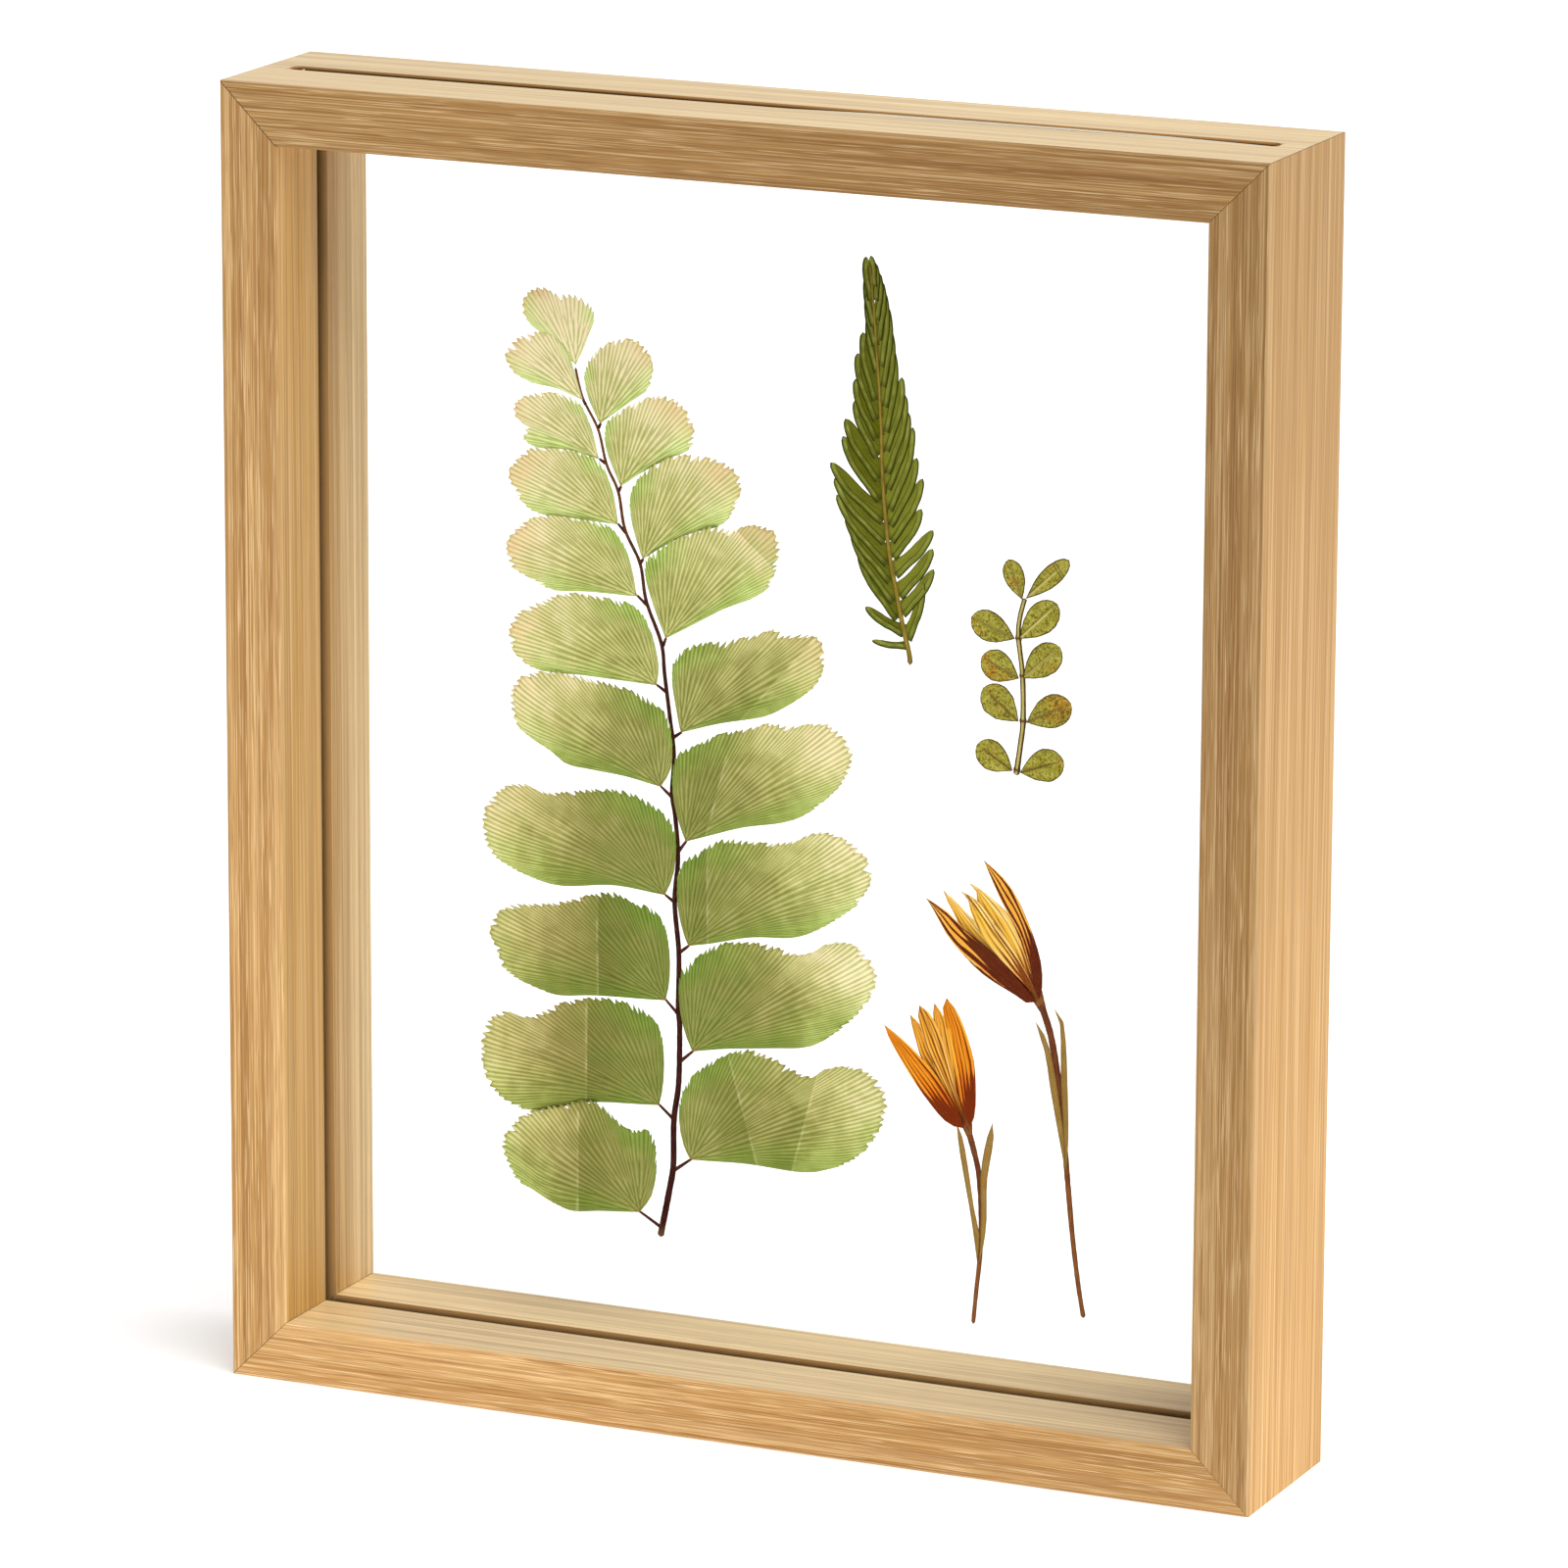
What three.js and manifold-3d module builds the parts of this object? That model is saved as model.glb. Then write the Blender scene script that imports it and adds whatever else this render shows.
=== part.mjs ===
// A floating glass frame with pressed plants: four mitred oak rails, two loose glass panes that
// slide down through a slot in the top rail, and dried plants lying flat between the panes.
// Millimetres, +Z up, the front faces -Y, and the origin is the middle of the underside.
import * as THREE from 'three';
import { mergeVertices } from 'three/addons/utils/BufferGeometryUtils.js';
import Module from 'manifold-3d';

const wasm = await Module();
wasm.setup();

// Frame
const FRAME_WIDTH = 215;
const FRAME_HEIGHT = 258;
const FRAME_DEPTH = 38.5;
const RAIL_FACE = 12;
const EDGE_EASE = 0.4;
const MITRE_GAP = 0.06;

// Panes, and the groove and slot that take them
const PANE_WIDTH = 200;
const PANE_HEIGHT = 254;
const PANE_THICKNESS = 1.5;
const PANE_SPACING = 1.1;
const PANE_TOP_INSET = 0.3;
const GROOVE_WIDTH = 4.4;
const GROOVE_CLEARANCE = 0.4;
const FOOT_CLEARANCE = 0.1;
const SLOT_LENGTH = 204;

// The plants lie in thin layers between the panes, counted from the front
const LAYER_COUNT = 5;
const LAYER_PITCH = PANE_SPACING / LAYER_COUNT;
const LEAF_THICKNESS = 0.18;
const STEM_LAYERS = [2, 4];

// Points along the outline of each kind of leaf
const LEAFLET_STEPS = 40;
const PETAL_STEPS = 24;
const BRACT_STEPS = 20;
const SPRIG_LEAF_STEPS = 24;

const colours = {
  oak: 0xc8a26a,
  glass: 0xdfe9e4,
  maidenhairLeaf: 0xa9ae5e,
  maidenhairStem: 0x3a1a16,
  fernBlade: 0x6f7a2a,
  sprigLeaf: 0x98983a,
  sprigStem: 0x9a8a4a,
  petal: 0xd8862a,
  bract: 0xa88a4a,
  flowerStem: 0x6a3a24,
};

const frame = new THREE.Group();

function addMesh(name, geometry, colour, roughness = 0.7) {
  const material = new THREE.MeshStandardMaterial({ color: colour, roughness, metalness: 0 });
  const mesh = new THREE.Mesh(geometry, material);
  mesh.name = name;
  frame.add(mesh);
  return mesh;
}

// Solids

function toSolid(geometry) {
  const bare = geometry.clone();
  bare.deleteAttribute('normal');
  bare.deleteAttribute('uv');
  const merged = mergeVertices(bare);
  const vertProperties = new Float32Array(merged.attributes.position.array);
  const triVerts = new Uint32Array(merged.index.array);
  return new wasm.Manifold(new wasm.Mesh({ numProp: 3, vertProperties, triVerts }));
}

function toGeometry(solid) {
  const { vertProperties, triVerts } = solid.getMesh();
  const geometry = new THREE.BufferGeometry();
  geometry.setAttribute('position', new THREE.BufferAttribute(vertProperties, 3));
  geometry.setIndex(new THREE.BufferAttribute(triVerts, 1));
  geometry.computeVertexNormals();
  return geometry;
}

function joined(geometries) {
  return toGeometry(geometries.map(toSolid).reduce((whole, piece) => whole.add(piece)));
}

function shapeFrom(points) {
  return new THREE.Shape(points.map(([x, y]) => new THREE.Vector2(x, y)));
}

// An outline drawn in X and Z becomes a plate whose front and back are at the given Y
function plate(shape, frontY, backY) {
  const geometry = new THREE.ExtrudeGeometry(shape, { depth: backY - frontY, bevelEnabled: false });
  geometry.rotateX(Math.PI / 2);
  geometry.translate(0, backY, 0);
  return geometry;
}

// Frame

// A bar along X, standing on Z = 0, with its four long edges eased
function easedBar(length) {
  const y = FRAME_DEPTH / 2;
  const section = shapeFrom([
    [-y + EDGE_EASE, 0],
    [y - EDGE_EASE, 0],
    [y, EDGE_EASE],
    [y, RAIL_FACE - EDGE_EASE],
    [y - EDGE_EASE, RAIL_FACE],
    [-y + EDGE_EASE, RAIL_FACE],
    [-y, RAIL_FACE - EDGE_EASE],
    [-y, EDGE_EASE],
  ]);
  const bar = new THREE.ExtrudeGeometry(section, { depth: length, bevelEnabled: false });
  const alongX = new THREE.Matrix4().makeBasis(
    new THREE.Vector3(0, 1, 0),
    new THREE.Vector3(0, 0, 1),
    new THREE.Vector3(1, 0, 0),
  );
  bar.applyMatrix4(alongX);
  bar.translate(-length / 2, 0, 0);
  return bar;
}

// A rail lies along X with its outer side at Z = 0 and both ends cut at 45 degrees
function rail(length, channel) {
  const outer = length / 2 - MITRE_GAP;
  const inner = outer - RAIL_FACE;
  const mitred = shapeFrom([[-outer, 0], [outer, 0], [inner, RAIL_FACE], [-inner, RAIL_FACE]]);
  const mitre = plate(mitred, -FRAME_DEPTH, FRAME_DEPTH);
  const solid = toSolid(easedBar(length)).intersect(toSolid(mitre)).subtract(toSolid(channel));
  return toGeometry(solid);
}

// A groove in the rail's inner side, as deep as the pane reaches in
function groove(length, depth) {
  const channel = new THREE.BoxGeometry(length, GROOVE_WIDTH, RAIL_FACE);
  channel.translate(0, 0, RAIL_FACE * 1.5 - depth);
  return channel;
}

// A slot with round ends, right through the rail
function slot() {
  const radius = GROOVE_WIDTH / 2;
  const straight = SLOT_LENGTH / 2 - radius;
  const outline = new THREE.Shape();
  outline.absarc(straight, 0, radius, -Math.PI / 2, Math.PI / 2);
  outline.absarc(-straight, 0, radius, Math.PI / 2, Math.PI * 1.5);
  const settings = { depth: RAIL_FACE * 2, bevelEnabled: false, curveSegments: 8 };
  const cut = new THREE.ExtrudeGeometry(outline, settings);
  cut.translate(0, 0, -RAIL_FACE / 2);
  return cut;
}

function addRail(name, geometry, x, z, turn) {
  const mesh = addMesh(name, geometry, colours.oak, 0.6);
  mesh.position.set(x, 0, z);
  mesh.rotation.y = turn;
}

function addFrame() {
  const openingWidth = FRAME_WIDTH - 2 * RAIL_FACE;
  const sideDepth = (PANE_WIDTH - openingWidth) / 2 + GROOVE_CLEARANCE;
  const paneFoot = FRAME_HEIGHT - PANE_TOP_INSET - PANE_HEIGHT;
  const footDepth = RAIL_FACE - paneFoot + FOOT_CLEARANCE;
  const halfHeight = FRAME_HEIGHT / 2;
  const halfWidth = FRAME_WIDTH / 2;
  const footGroove = groove(PANE_WIDTH + 2 * GROOVE_CLEARANCE, footDepth);
  const sideGroove = groove(FRAME_HEIGHT * 2, sideDepth);
  addRail('bottom_rail', rail(FRAME_WIDTH, footGroove), 0, 0, 0);
  addRail('right_rail', rail(FRAME_HEIGHT, sideGroove), halfWidth, halfHeight, -Math.PI / 2);
  addRail('top_rail', rail(FRAME_WIDTH, slot()), 0, FRAME_HEIGHT, Math.PI);
  addRail('left_rail', rail(FRAME_HEIGHT, sideGroove), -halfWidth, halfHeight, Math.PI / 2);
}

function addPanes() {
  const centreZ = FRAME_HEIGHT - PANE_TOP_INSET - PANE_HEIGHT / 2;
  const offset = (PANE_SPACING + PANE_THICKNESS) / 2;
  for (const [name, side] of [['front_pane', -1], ['back_pane', 1]]) {
    const glass = new THREE.BoxGeometry(PANE_WIDTH, PANE_THICKNESS, PANE_HEIGHT);
    addMesh(name, glass, colours.glass, 0.05).position.set(0, side * offset, centreZ);
  }
}

// Pressed pieces

// A plate that fills the layers from the first to the last
function pressed(shape, firstLayer, lastLayer = firstLayer) {
  const middleLayer = (LAYER_COUNT - 1) / 2;
  const frontY = (firstLayer - middleLayer) * LAYER_PITCH - LEAF_THICKNESS / 2;
  const backY = (lastLayer - middleLayer) * LAYER_PITCH + LEAF_THICKNESS / 2;
  return plate(shape, frontY, backY);
}

function curveThrough(points) {
  const knots = points.map(([x, z]) => new THREE.Vector3(x, z, 0));
  return new THREE.CatmullRomCurve3(knots, false, 'centripetal');
}

// A closed outline of smooth sides, each one starting at a corner and ending at the next one's
function outlineShape(sides, steps) {
  const sideSteps = Math.round(steps / sides.length);
  const around = sides.flatMap((side, index) => {
    const [nextCorner] = sides[(index + 1) % sides.length];
    return curveThrough([...side, nextCorner]).getSpacedPoints(sideSteps).slice(0, sideSteps);
  });
  return shapeFrom(around.map(({ x, y }) => [x, y]));
}

// A strip along a curve, with its half width given at each place from 0 to 1
function strip(curve, places, halfWidthAt) {
  const right = [];
  const left = [];
  for (const place of places) {
    const at = curve.getPointAt(place);
    const along = curve.getTangentAt(place);
    const half = halfWidthAt(place);
    right.push([at.x + along.y * half, at.y - along.x * half]);
    if (half > 0) {
      left.unshift([at.x - along.y * half, at.y + along.x * half]);
    }
  }
  return shapeFrom([...right, ...left]);
}

function evenPlaces(steps) {
  return Array.from({ length: steps + 1 }, (_, step) => step / steps);
}

function stemShape(curve, steps, footWidth, topWidth) {
  return strip(curve, evenPlaces(steps), (place) => (footWidth + (topWidth - footWidth) * place) / 2);
}

// Maidenhair frond. Each leaflet's outline starts at its stalk, goes up the inner margin,
// over the toothed top to the tip, and comes back along the smooth lower margin.

const MAIDENHAIR_STEM = [
  [-23.5, 33.4], [-21.5, 43.4], [-20.7, 48.5], [-20.6, 57.5], [-19.6, 65], [-19.4, 76],
  [-19.7, 80], [-19.6, 91], [-20.5, 101], [-19.8, 110], [-20.4, 118], [-21.1, 122.5],
  [-20.7, 130.5], [-21.7, 138.6], [-22.7, 146], [-23.4, 152], [-26.6, 160], [-27.9, 167.2],
  [-31.1, 173.6], [-32.5, 180.8], [-35, 186], [-36.8, 192.7], [-40, 198.5], [-41.6, 204.4],
];
const MAIDENHAIR_STEM_WIDTHS = [1.05, 0.3];
const STALK_WIDTHS = [0.5, 0.35];
const STALK_DROPS = [3, 1.2];
const MAIDENHAIR_STEM_STEPS = 46;
const STALK_STEPS = 2;

const MAIDENHAIR_LEFT = [
  [[-27.8, 38], [-25.2, 41.6], [-24, 50], [-25.4, 54.8], [-30.2, 54.5], [-34.7, 58], [-38, 59.6],
    [-43, 58.3], [-52.5, 55], [-55.6, 51.8], [-57.5, 48.2], [-55, 42.5], [-54.4, 41.2],
    [-47.2, 38.9], [-43.5, 36.6], [-36, 37.3]],
  [[-23.7, 60.1], [-22.8, 64], [-22.6, 71], [-23.3, 75.4], [-26.4, 78.7], [-30, 80], [-36.5, 80.3],
    [-45.1, 78.1], [-52, 74.5], [-56.1, 75.5], [-60.1, 73.4], [-61.9, 69], [-61.8, 64.8],
    [-60.5, 60.3], [-57.6, 57.6], [-53.5, 55.9], [-48.6, 56.1], [-38.5, 59]],
  [[-22.3, 81.3], [-21.4, 85], [-21.4, 92], [-22.4, 96.5], [-25.4, 99.8], [-28.5, 99.8],
    [-33, 101.8], [-38.6, 100.6], [-43.5, 98.9], [-50.8, 97.5], [-55.4, 97], [-58.6, 94.3],
    [-59.9, 91.3], [-58, 86.6], [-57.4, 84], [-52.5, 81.6], [-45.6, 79.8], [-38, 80.6]],
  [[-22.5, 102.3], [-20.8, 106], [-20, 112], [-20.6, 116.6], [-26, 120.6], [-32, 122.3],
    [-39.4, 121.5], [-48.4, 120.1], [-52.2, 121.4], [-56.3, 120.6], [-59.6, 117.8], [-61.5, 113.5],
    [-60.3, 107.5], [-57.9, 105.4], [-46.3, 101.8], [-33.5, 103.1]],
  [[-23.4, 123.7], [-21.3, 127], [-20.8, 132], [-21.6, 137.6], [-25.4, 140.6], [-29.4, 142.3],
    [-39, 143.8], [-45.1, 144.5], [-50.4, 143.7], [-53.8, 141.9], [-55.2, 138.6], [-53.8, 132.9],
    [-46.5, 128.5], [-43.6, 126.3], [-38, 125.7], [-30, 125]],
  [[-24.3, 143.7], [-23.8, 147], [-24.7, 152], [-26.2, 156.2], [-29, 158.9], [-37.6, 160.1],
    [-43.5, 160], [-51.5, 156.5], [-54.4, 154.5], [-55.7, 150.5], [-54.4, 147], [-50.5, 144.5],
    [-38, 144.2]],
  [[-28.4, 160.8], [-29.2, 165.5], [-31, 170.8], [-34.5, 174.2], [-42.6, 175.1], [-49.7, 174.6],
    [-54.2, 171.4], [-56.1, 168.1], [-54.8, 164], [-50.8, 162.2], [-47, 160.5], [-38, 160.8]],
  [[-32.5, 174.5], [-32.9, 178], [-34, 182.4], [-36.2, 186.3], [-40, 187.9], [-46, 188.3],
    [-50.8, 187.8], [-54.2, 184.9], [-55.6, 182.1], [-54.4, 179.2], [-50.8, 175.5], [-42.6, 174.9]],
  [[-36.5, 186.9], [-37.1, 190], [-38.5, 194.5], [-40.8, 197.9], [-44.5, 199], [-50, 198.6],
    [-53.6, 196.8], [-54.5, 194.6], [-51.6, 191.5], [-52.6, 189.8], [-50, 188.2], [-42, 188.2]],
  [[-40, 198.2], [-41.3, 202.5], [-43.2, 207.7], [-46.2, 210.4], [-49.5, 210.6], [-53.6, 209],
    [-56, 206.2], [-55.4, 203.1], [-51.5, 200.8], [-45.5, 200]],
];

const MAIDENHAIR_RIGHT = [
  [[-17, 49.9], [-18.6, 53.5], [-19.3, 59], [-18.7, 63], [-17, 66.2], [-13.5, 69.5], [-10.3, 71.5],
    [-5.5, 73.5], [-1.5, 73.3], [3, 71.6], [6.8, 69.9], [8.4, 69.2], [10.4, 70.8], [13.2, 72.3],
    [17, 72.7], [20.6, 72.3], [23.5, 69.7], [24.8, 66.6], [23.5, 61.4], [21.3, 57.6], [16.7, 53.5],
    [12, 51.5], [8, 50.4], [-5, 50.6]],
  [[-16.6, 71.7], [-18.4, 76], [-19.4, 82], [-19, 87.5], [-16.7, 89.7], [-14, 92], [-11.5, 93.8],
    [-6, 94.8], [0, 95], [4.2, 93.8], [7.8, 93.9], [12.5, 96.8], [17.2, 97.1], [20.6, 94.8],
    [22.4, 91.2], [21.4, 87.5], [17.9, 82.7], [13.8, 79], [8.3, 75.6], [0, 74.3], [-10, 73]],
  [[-17.5, 92.7], [-19.1, 97.5], [-19.8, 104], [-18.7, 109.2], [-14.5, 111.9], [-11.8, 114.1],
    [-8.5, 115], [-3, 114.9], [5.5, 116.2], [9, 118.2], [12.8, 118.4], [18.9, 115.7], [21.3, 111],
    [18.8, 105.6], [13.8, 101.4], [8.2, 98.1], [4.6, 96.8], [-4, 96], [-12.5, 93.8]],
  [[-18.1, 113.4], [-20, 118.5], [-20.9, 126], [-20, 130.4], [-15.5, 132.9], [-11.5, 135.2],
    [-4.5, 137.2], [0.2, 138.8], [3, 138.3], [8.5, 139.5], [12.3, 139.5], [15.6, 137],
    [17.1, 133.8], [15.3, 129], [11.4, 124.8], [7.5, 121.6], [3, 119.5], [-6, 117.5], [-14, 114.8]],
  [[-19.1, 134.9], [-20.2, 140.5], [-20.9, 146], [-20.1, 149.6], [-16.2, 152.5], [-10, 153.8],
    [-3, 155.8], [1.3, 157.4], [2.6, 156.2], [8.8, 156.9], [10.9, 154.8], [11, 151.5], [9.7, 147.5],
    [6.2, 144.4], [1.8, 141.5], [-1, 140], [-11, 137.5]],
  [[-22.4, 153.1], [-25, 159.5], [-26.7, 165.5], [-26.4, 168.4], [-22, 171.8], [-16.4, 174.5],
    [-12.5, 176.2], [-8.5, 175.6], [-5, 176.9], [-2, 177], [0.4, 176.2], [1.6, 173.5], [0.9, 168.8],
    [-1, 164.9], [-3, 163.3], [-11, 159.7], [-18, 155.6]],
  [[-27.2, 168.2], [-28.8, 173], [-29.8, 178.5], [-28.8, 182.8], [-25.6, 186.3], [-22, 188.4],
    [-18, 189.4], [-14, 189.4], [-9, 188.2], [-6.6, 185.8], [-6.7, 182.5], [-8.9, 178], [-11, 176.2],
    [-17, 174.3], [-23, 171.2]],
  [[-31.9, 182], [-34.2, 187], [-35.2, 191], [-34.4, 194.6], [-30, 197.8], [-25, 200.1],
    [-20.5, 200], [-17.4, 197.2], [-16.2, 193], [-17.6, 190.3], [-22, 188.5], [-28, 185]],
  [[-36.2, 193.9], [-38.2, 197.8], [-39.4, 202], [-38.6, 205.6], [-35.7, 209], [-30.4, 210.9],
    [-26.8, 209.9], [-25, 206], [-25.8, 201.8], [-30, 198.5]],
];

const MAIDENHAIR_TIP = [
  [-41.4, 204.9], [-40, 207.4], [-38.4, 211.2], [-37.1, 215], [-39, 217.5], [-42, 218.5],
  [-45.5, 218.4], [-48, 219.4], [-51.4, 218.1], [-52.6, 215.3], [-51.4, 212.6], [-48.6, 210.6],
  [-44.3, 207.4],
];

const HEIGHT_STEPS = 400;

// The place along an upright stem where it passes the given height
function placeAtHeight(curve, height) {
  const step = curve.getSpacedPoints(HEIGHT_STEPS).findIndex(({ y }) => y >= height);
  return Math.max(step, 0) / HEIGHT_STEPS;
}

// A short stalk leaves the stem a little below the leaflet that it carries
function stalk(stemCurve, leaflet, rank) {
  const [base] = leaflet;
  const drop = THREE.MathUtils.lerp(...STALK_DROPS, rank);
  const foot = stemCurve.getPointAt(placeAtHeight(stemCurve, base[1] - drop));
  return stemShape(curveThrough([[foot.x, foot.y], base]), STALK_STEPS, ...STALK_WIDTHS);
}

function addMaidenhair() {
  const stemCurve = curveThrough(MAIDENHAIR_STEM);
  const shapes = [stemShape(stemCurve, MAIDENHAIR_STEM_STEPS, ...MAIDENHAIR_STEM_WIDTHS)];
  for (const [side, leaflets] of [['left', MAIDENHAIR_LEFT], ['right', MAIDENHAIR_RIGHT]]) {
    leaflets.forEach((leaflet, index) => {
      shapes.push(stalk(stemCurve, leaflet, index / leaflets.length));
      const geometry = pressed(outlineShape([leaflet], LEAFLET_STEPS), index % 2);
      addMesh(`maidenhair_${side}_${index + 1}`, geometry, colours.maidenhairLeaf);
    });
  }
  const tip = pressed(outlineShape([MAIDENHAIR_TIP], LEAFLET_STEPS), 0);
  addMesh('maidenhair_tip', tip, colours.maidenhairLeaf);
  const stem = joined(shapes.map((shape) => pressed(shape, ...STEM_LAYERS)));
  addMesh('maidenhair_stem', stem, colours.maidenhairStem, 0.45);
}

// Feathered fern, grown in one piece. Each segment leaves the midrib at a height and ends at
// its own tip.

const FERN_MIDRIB = [
  [28.7, 152.8], [28.5, 155], [27.2, 160], [25.8, 166.5], [24.1, 175], [23.2, 183], [22.6, 191],
  [22.3, 200], [21.6, 210], [20.8, 220], [19.9, 229],
];
const FERN_MIDRIB_WIDTHS = [0.8, 0.3];
const FERN_MIDRIB_STEPS = 24;
const FERN_MIDRIB_LAYERS = [1, 4];
const SEGMENT_LAYERS = [2, 4];
const SEGMENT_BOW = 0.04;
const SEGMENT_ROUND_FROM = 0.82;
const SEGMENT_PLACES = [0, 0.45, SEGMENT_ROUND_FROM, 0.95, 1];

// Height on the midrib, then the tip and the width of the segment
const FERN_LEFT = [
  [156.6, 20.7, 156.8, 1.4], [158.9, 19.3, 163.2, 2.1], [161.8, 17.8, 173.5, 2.5], [165.3, 16.3, 177.6, 2.5],
  [169, 15.1, 180.3, 2.5], [172.6, 13.2, 184.4, 2.5], [176.8, 12.7, 187.5, 2.4], [180.8, 11.9, 190.5, 2.4],
  [184.6, 14.4, 195.8, 2.5], [188.3, 14.9, 199.2, 2.5], [192.4, 16.9, 203, 2.5], [196.2, 16.9, 207, 2.5],
  [199.8, 17.3, 212, 2.4], [203.2, 18.4, 216.1, 2.2], [208.4, 19.4, 219.4, 1.1], [213, 19.1, 223.6, 1.1],
  [217.4, 18.9, 227, 1], [221.4, 18.6, 230.6, 1],
];
const FERN_RIGHT = [
  [157.4, 31.3, 169.1, 2.2], [162.9, 33.4, 171.8, 1.9], [166.2, 33.2, 175.7, 2.1],
  [169.7, 33.2, 179.3, 2.1], [173.2, 30.8, 183.2, 2.1], [176.3, 31, 189.1, 2.2],
  [179.5, 29.8, 193, 2.2], [182.9, 28.9, 198.8, 2.2], [186.2, 28, 201.5, 2.1],
  [189.6, 27.3, 204.8, 2.1], [193.4, 26.6, 208.2, 2], [197.4, 24.8, 213.3, 1.9],
  [201.4, 24.2, 217.1, 1.8], [205.9, 23.6, 221.4, 1.8], [210, 23, 224.1, 1.5],
  [214, 22.5, 226, 1.4], [217.9, 21.9, 227.6, 1.2], [221.5, 21.2, 229.5, 1.1], [224.6, 20.4, 230.9, 1],
];

// A narrow segment with a blunt round tip, bowed a little towards the foot of the frond
function segment(midrib, [height, tipX, tipZ, width]) {
  const base = midrib.getPointAt(placeAtHeight(midrib, height));
  const side = Math.sign(tipX - base.x);
  const across = tipX - base.x;
  const along = tipZ - base.y;
  const middle = [
    base.x + across / 2 + side * along * SEGMENT_BOW,
    base.y + along / 2 - side * across * SEGMENT_BOW,
  ];
  const curve = curveThrough([[base.x, base.y], middle, [tipX, tipZ]]);
  const halfWidthAt = (place) => {
    const past = Math.max(place - SEGMENT_ROUND_FROM, 0) / (1 - SEGMENT_ROUND_FROM);
    return (width / 2) * Math.sqrt(1 - past * past);
  };
  return strip(curve, SEGMENT_PLACES, halfWidthAt);
}

function addFern() {
  const midrib = curveThrough(FERN_MIDRIB);
  const shapes = [...FERN_LEFT, ...FERN_RIGHT].map((row) => segment(midrib, row));
  const segments = shapes.map((shape) => pressed(shape, ...SEGMENT_LAYERS));
  const ribShape = stemShape(midrib, FERN_MIDRIB_STEPS, ...FERN_MIDRIB_WIDTHS);
  const rib = pressed(ribShape, ...FERN_MIDRIB_LAYERS);
  addMesh('fern_frond', joined([rib, ...segments]), colours.fernBlade);
}

// Round-leaved sprig

const SPRIG_STEM = [
  [50.6, 133.6], [51.4, 139.5], [51.9, 144.3], [51.7, 153], [50.8, 160.2], [51, 164], [52, 168],
];
const SPRIG_STEM_WIDTHS = [1.35, 1];
const SPRIG_STEM_STEPS = 18;

// Base, tip and width of each leaf, in pairs from the foot up
const SPRIG_LEAVES = {
  left: [
    [[50.1, 134.6], [42.8, 138.9], 6],
    [[51.1, 144.2], [43.9, 150], 6.6],
    [[51.2, 152.6], [43.6, 156], 6.2],
    [[50.2, 160.1], [41.3, 163.4], 6],
    [[51.7, 167.9], [48.9, 175.3], 4.3],
  ],
  right: [
    [[51.7, 134.4], [60.5, 137.6], 6.4],
    [[52.8, 144.2], [61.8, 148.7], 6.4],
    [[52.1, 152.7], [59.5, 159.4], 6.1],
    [[51.2, 160.2], [58.8, 167.6], 6],
    [[52.5, 168.1], [61.2, 176.3], 3.9],
  ],
};

// Distance along an egg-shaped leaf and its half width there, both as parts of the whole
const EGG_PROFILE = [[0.13, 0.34], [0.36, 0.8], [0.6, 1], [0.82, 0.84], [0.95, 0.46]];

function eggOutline([baseX, baseZ], [tipX, tipZ], width) {
  const along = new THREE.Vector2(tipX - baseX, tipZ - baseZ);
  const across = new THREE.Vector2(-along.y, along.x).setLength(width / 2);
  const place = ([distance, half], side) => [
    baseX + along.x * distance + across.x * half * side,
    baseZ + along.y * distance + across.y * half * side,
  ];
  const out = EGG_PROFILE.map((row) => place(row, 1));
  const back = EGG_PROFILE.map((row) => place(row, -1)).reverse();
  return [[baseX, baseZ], ...out, [tipX, tipZ], ...back];
}

function addSprig() {
  for (const [side, leaves] of Object.entries(SPRIG_LEAVES)) {
    leaves.forEach((leaf, index) => {
      const geometry = pressed(outlineShape([eggOutline(...leaf)], SPRIG_LEAF_STEPS), index % 2);
      addMesh(`sprig_${side}_${index + 1}`, geometry, colours.sprigLeaf);
    });
  }
  const stem = stemShape(curveThrough(SPRIG_STEM), SPRIG_STEM_STEPS, ...SPRIG_STEM_WIDTHS);
  addMesh('sprig_stem', pressed(stem, ...STEM_LAYERS), colours.sprigStem);
}

// Flowers. A petal or bract has one side from its base out to its point, and one side back.

const FLOWER_STEM_STEPS = 24;

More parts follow.
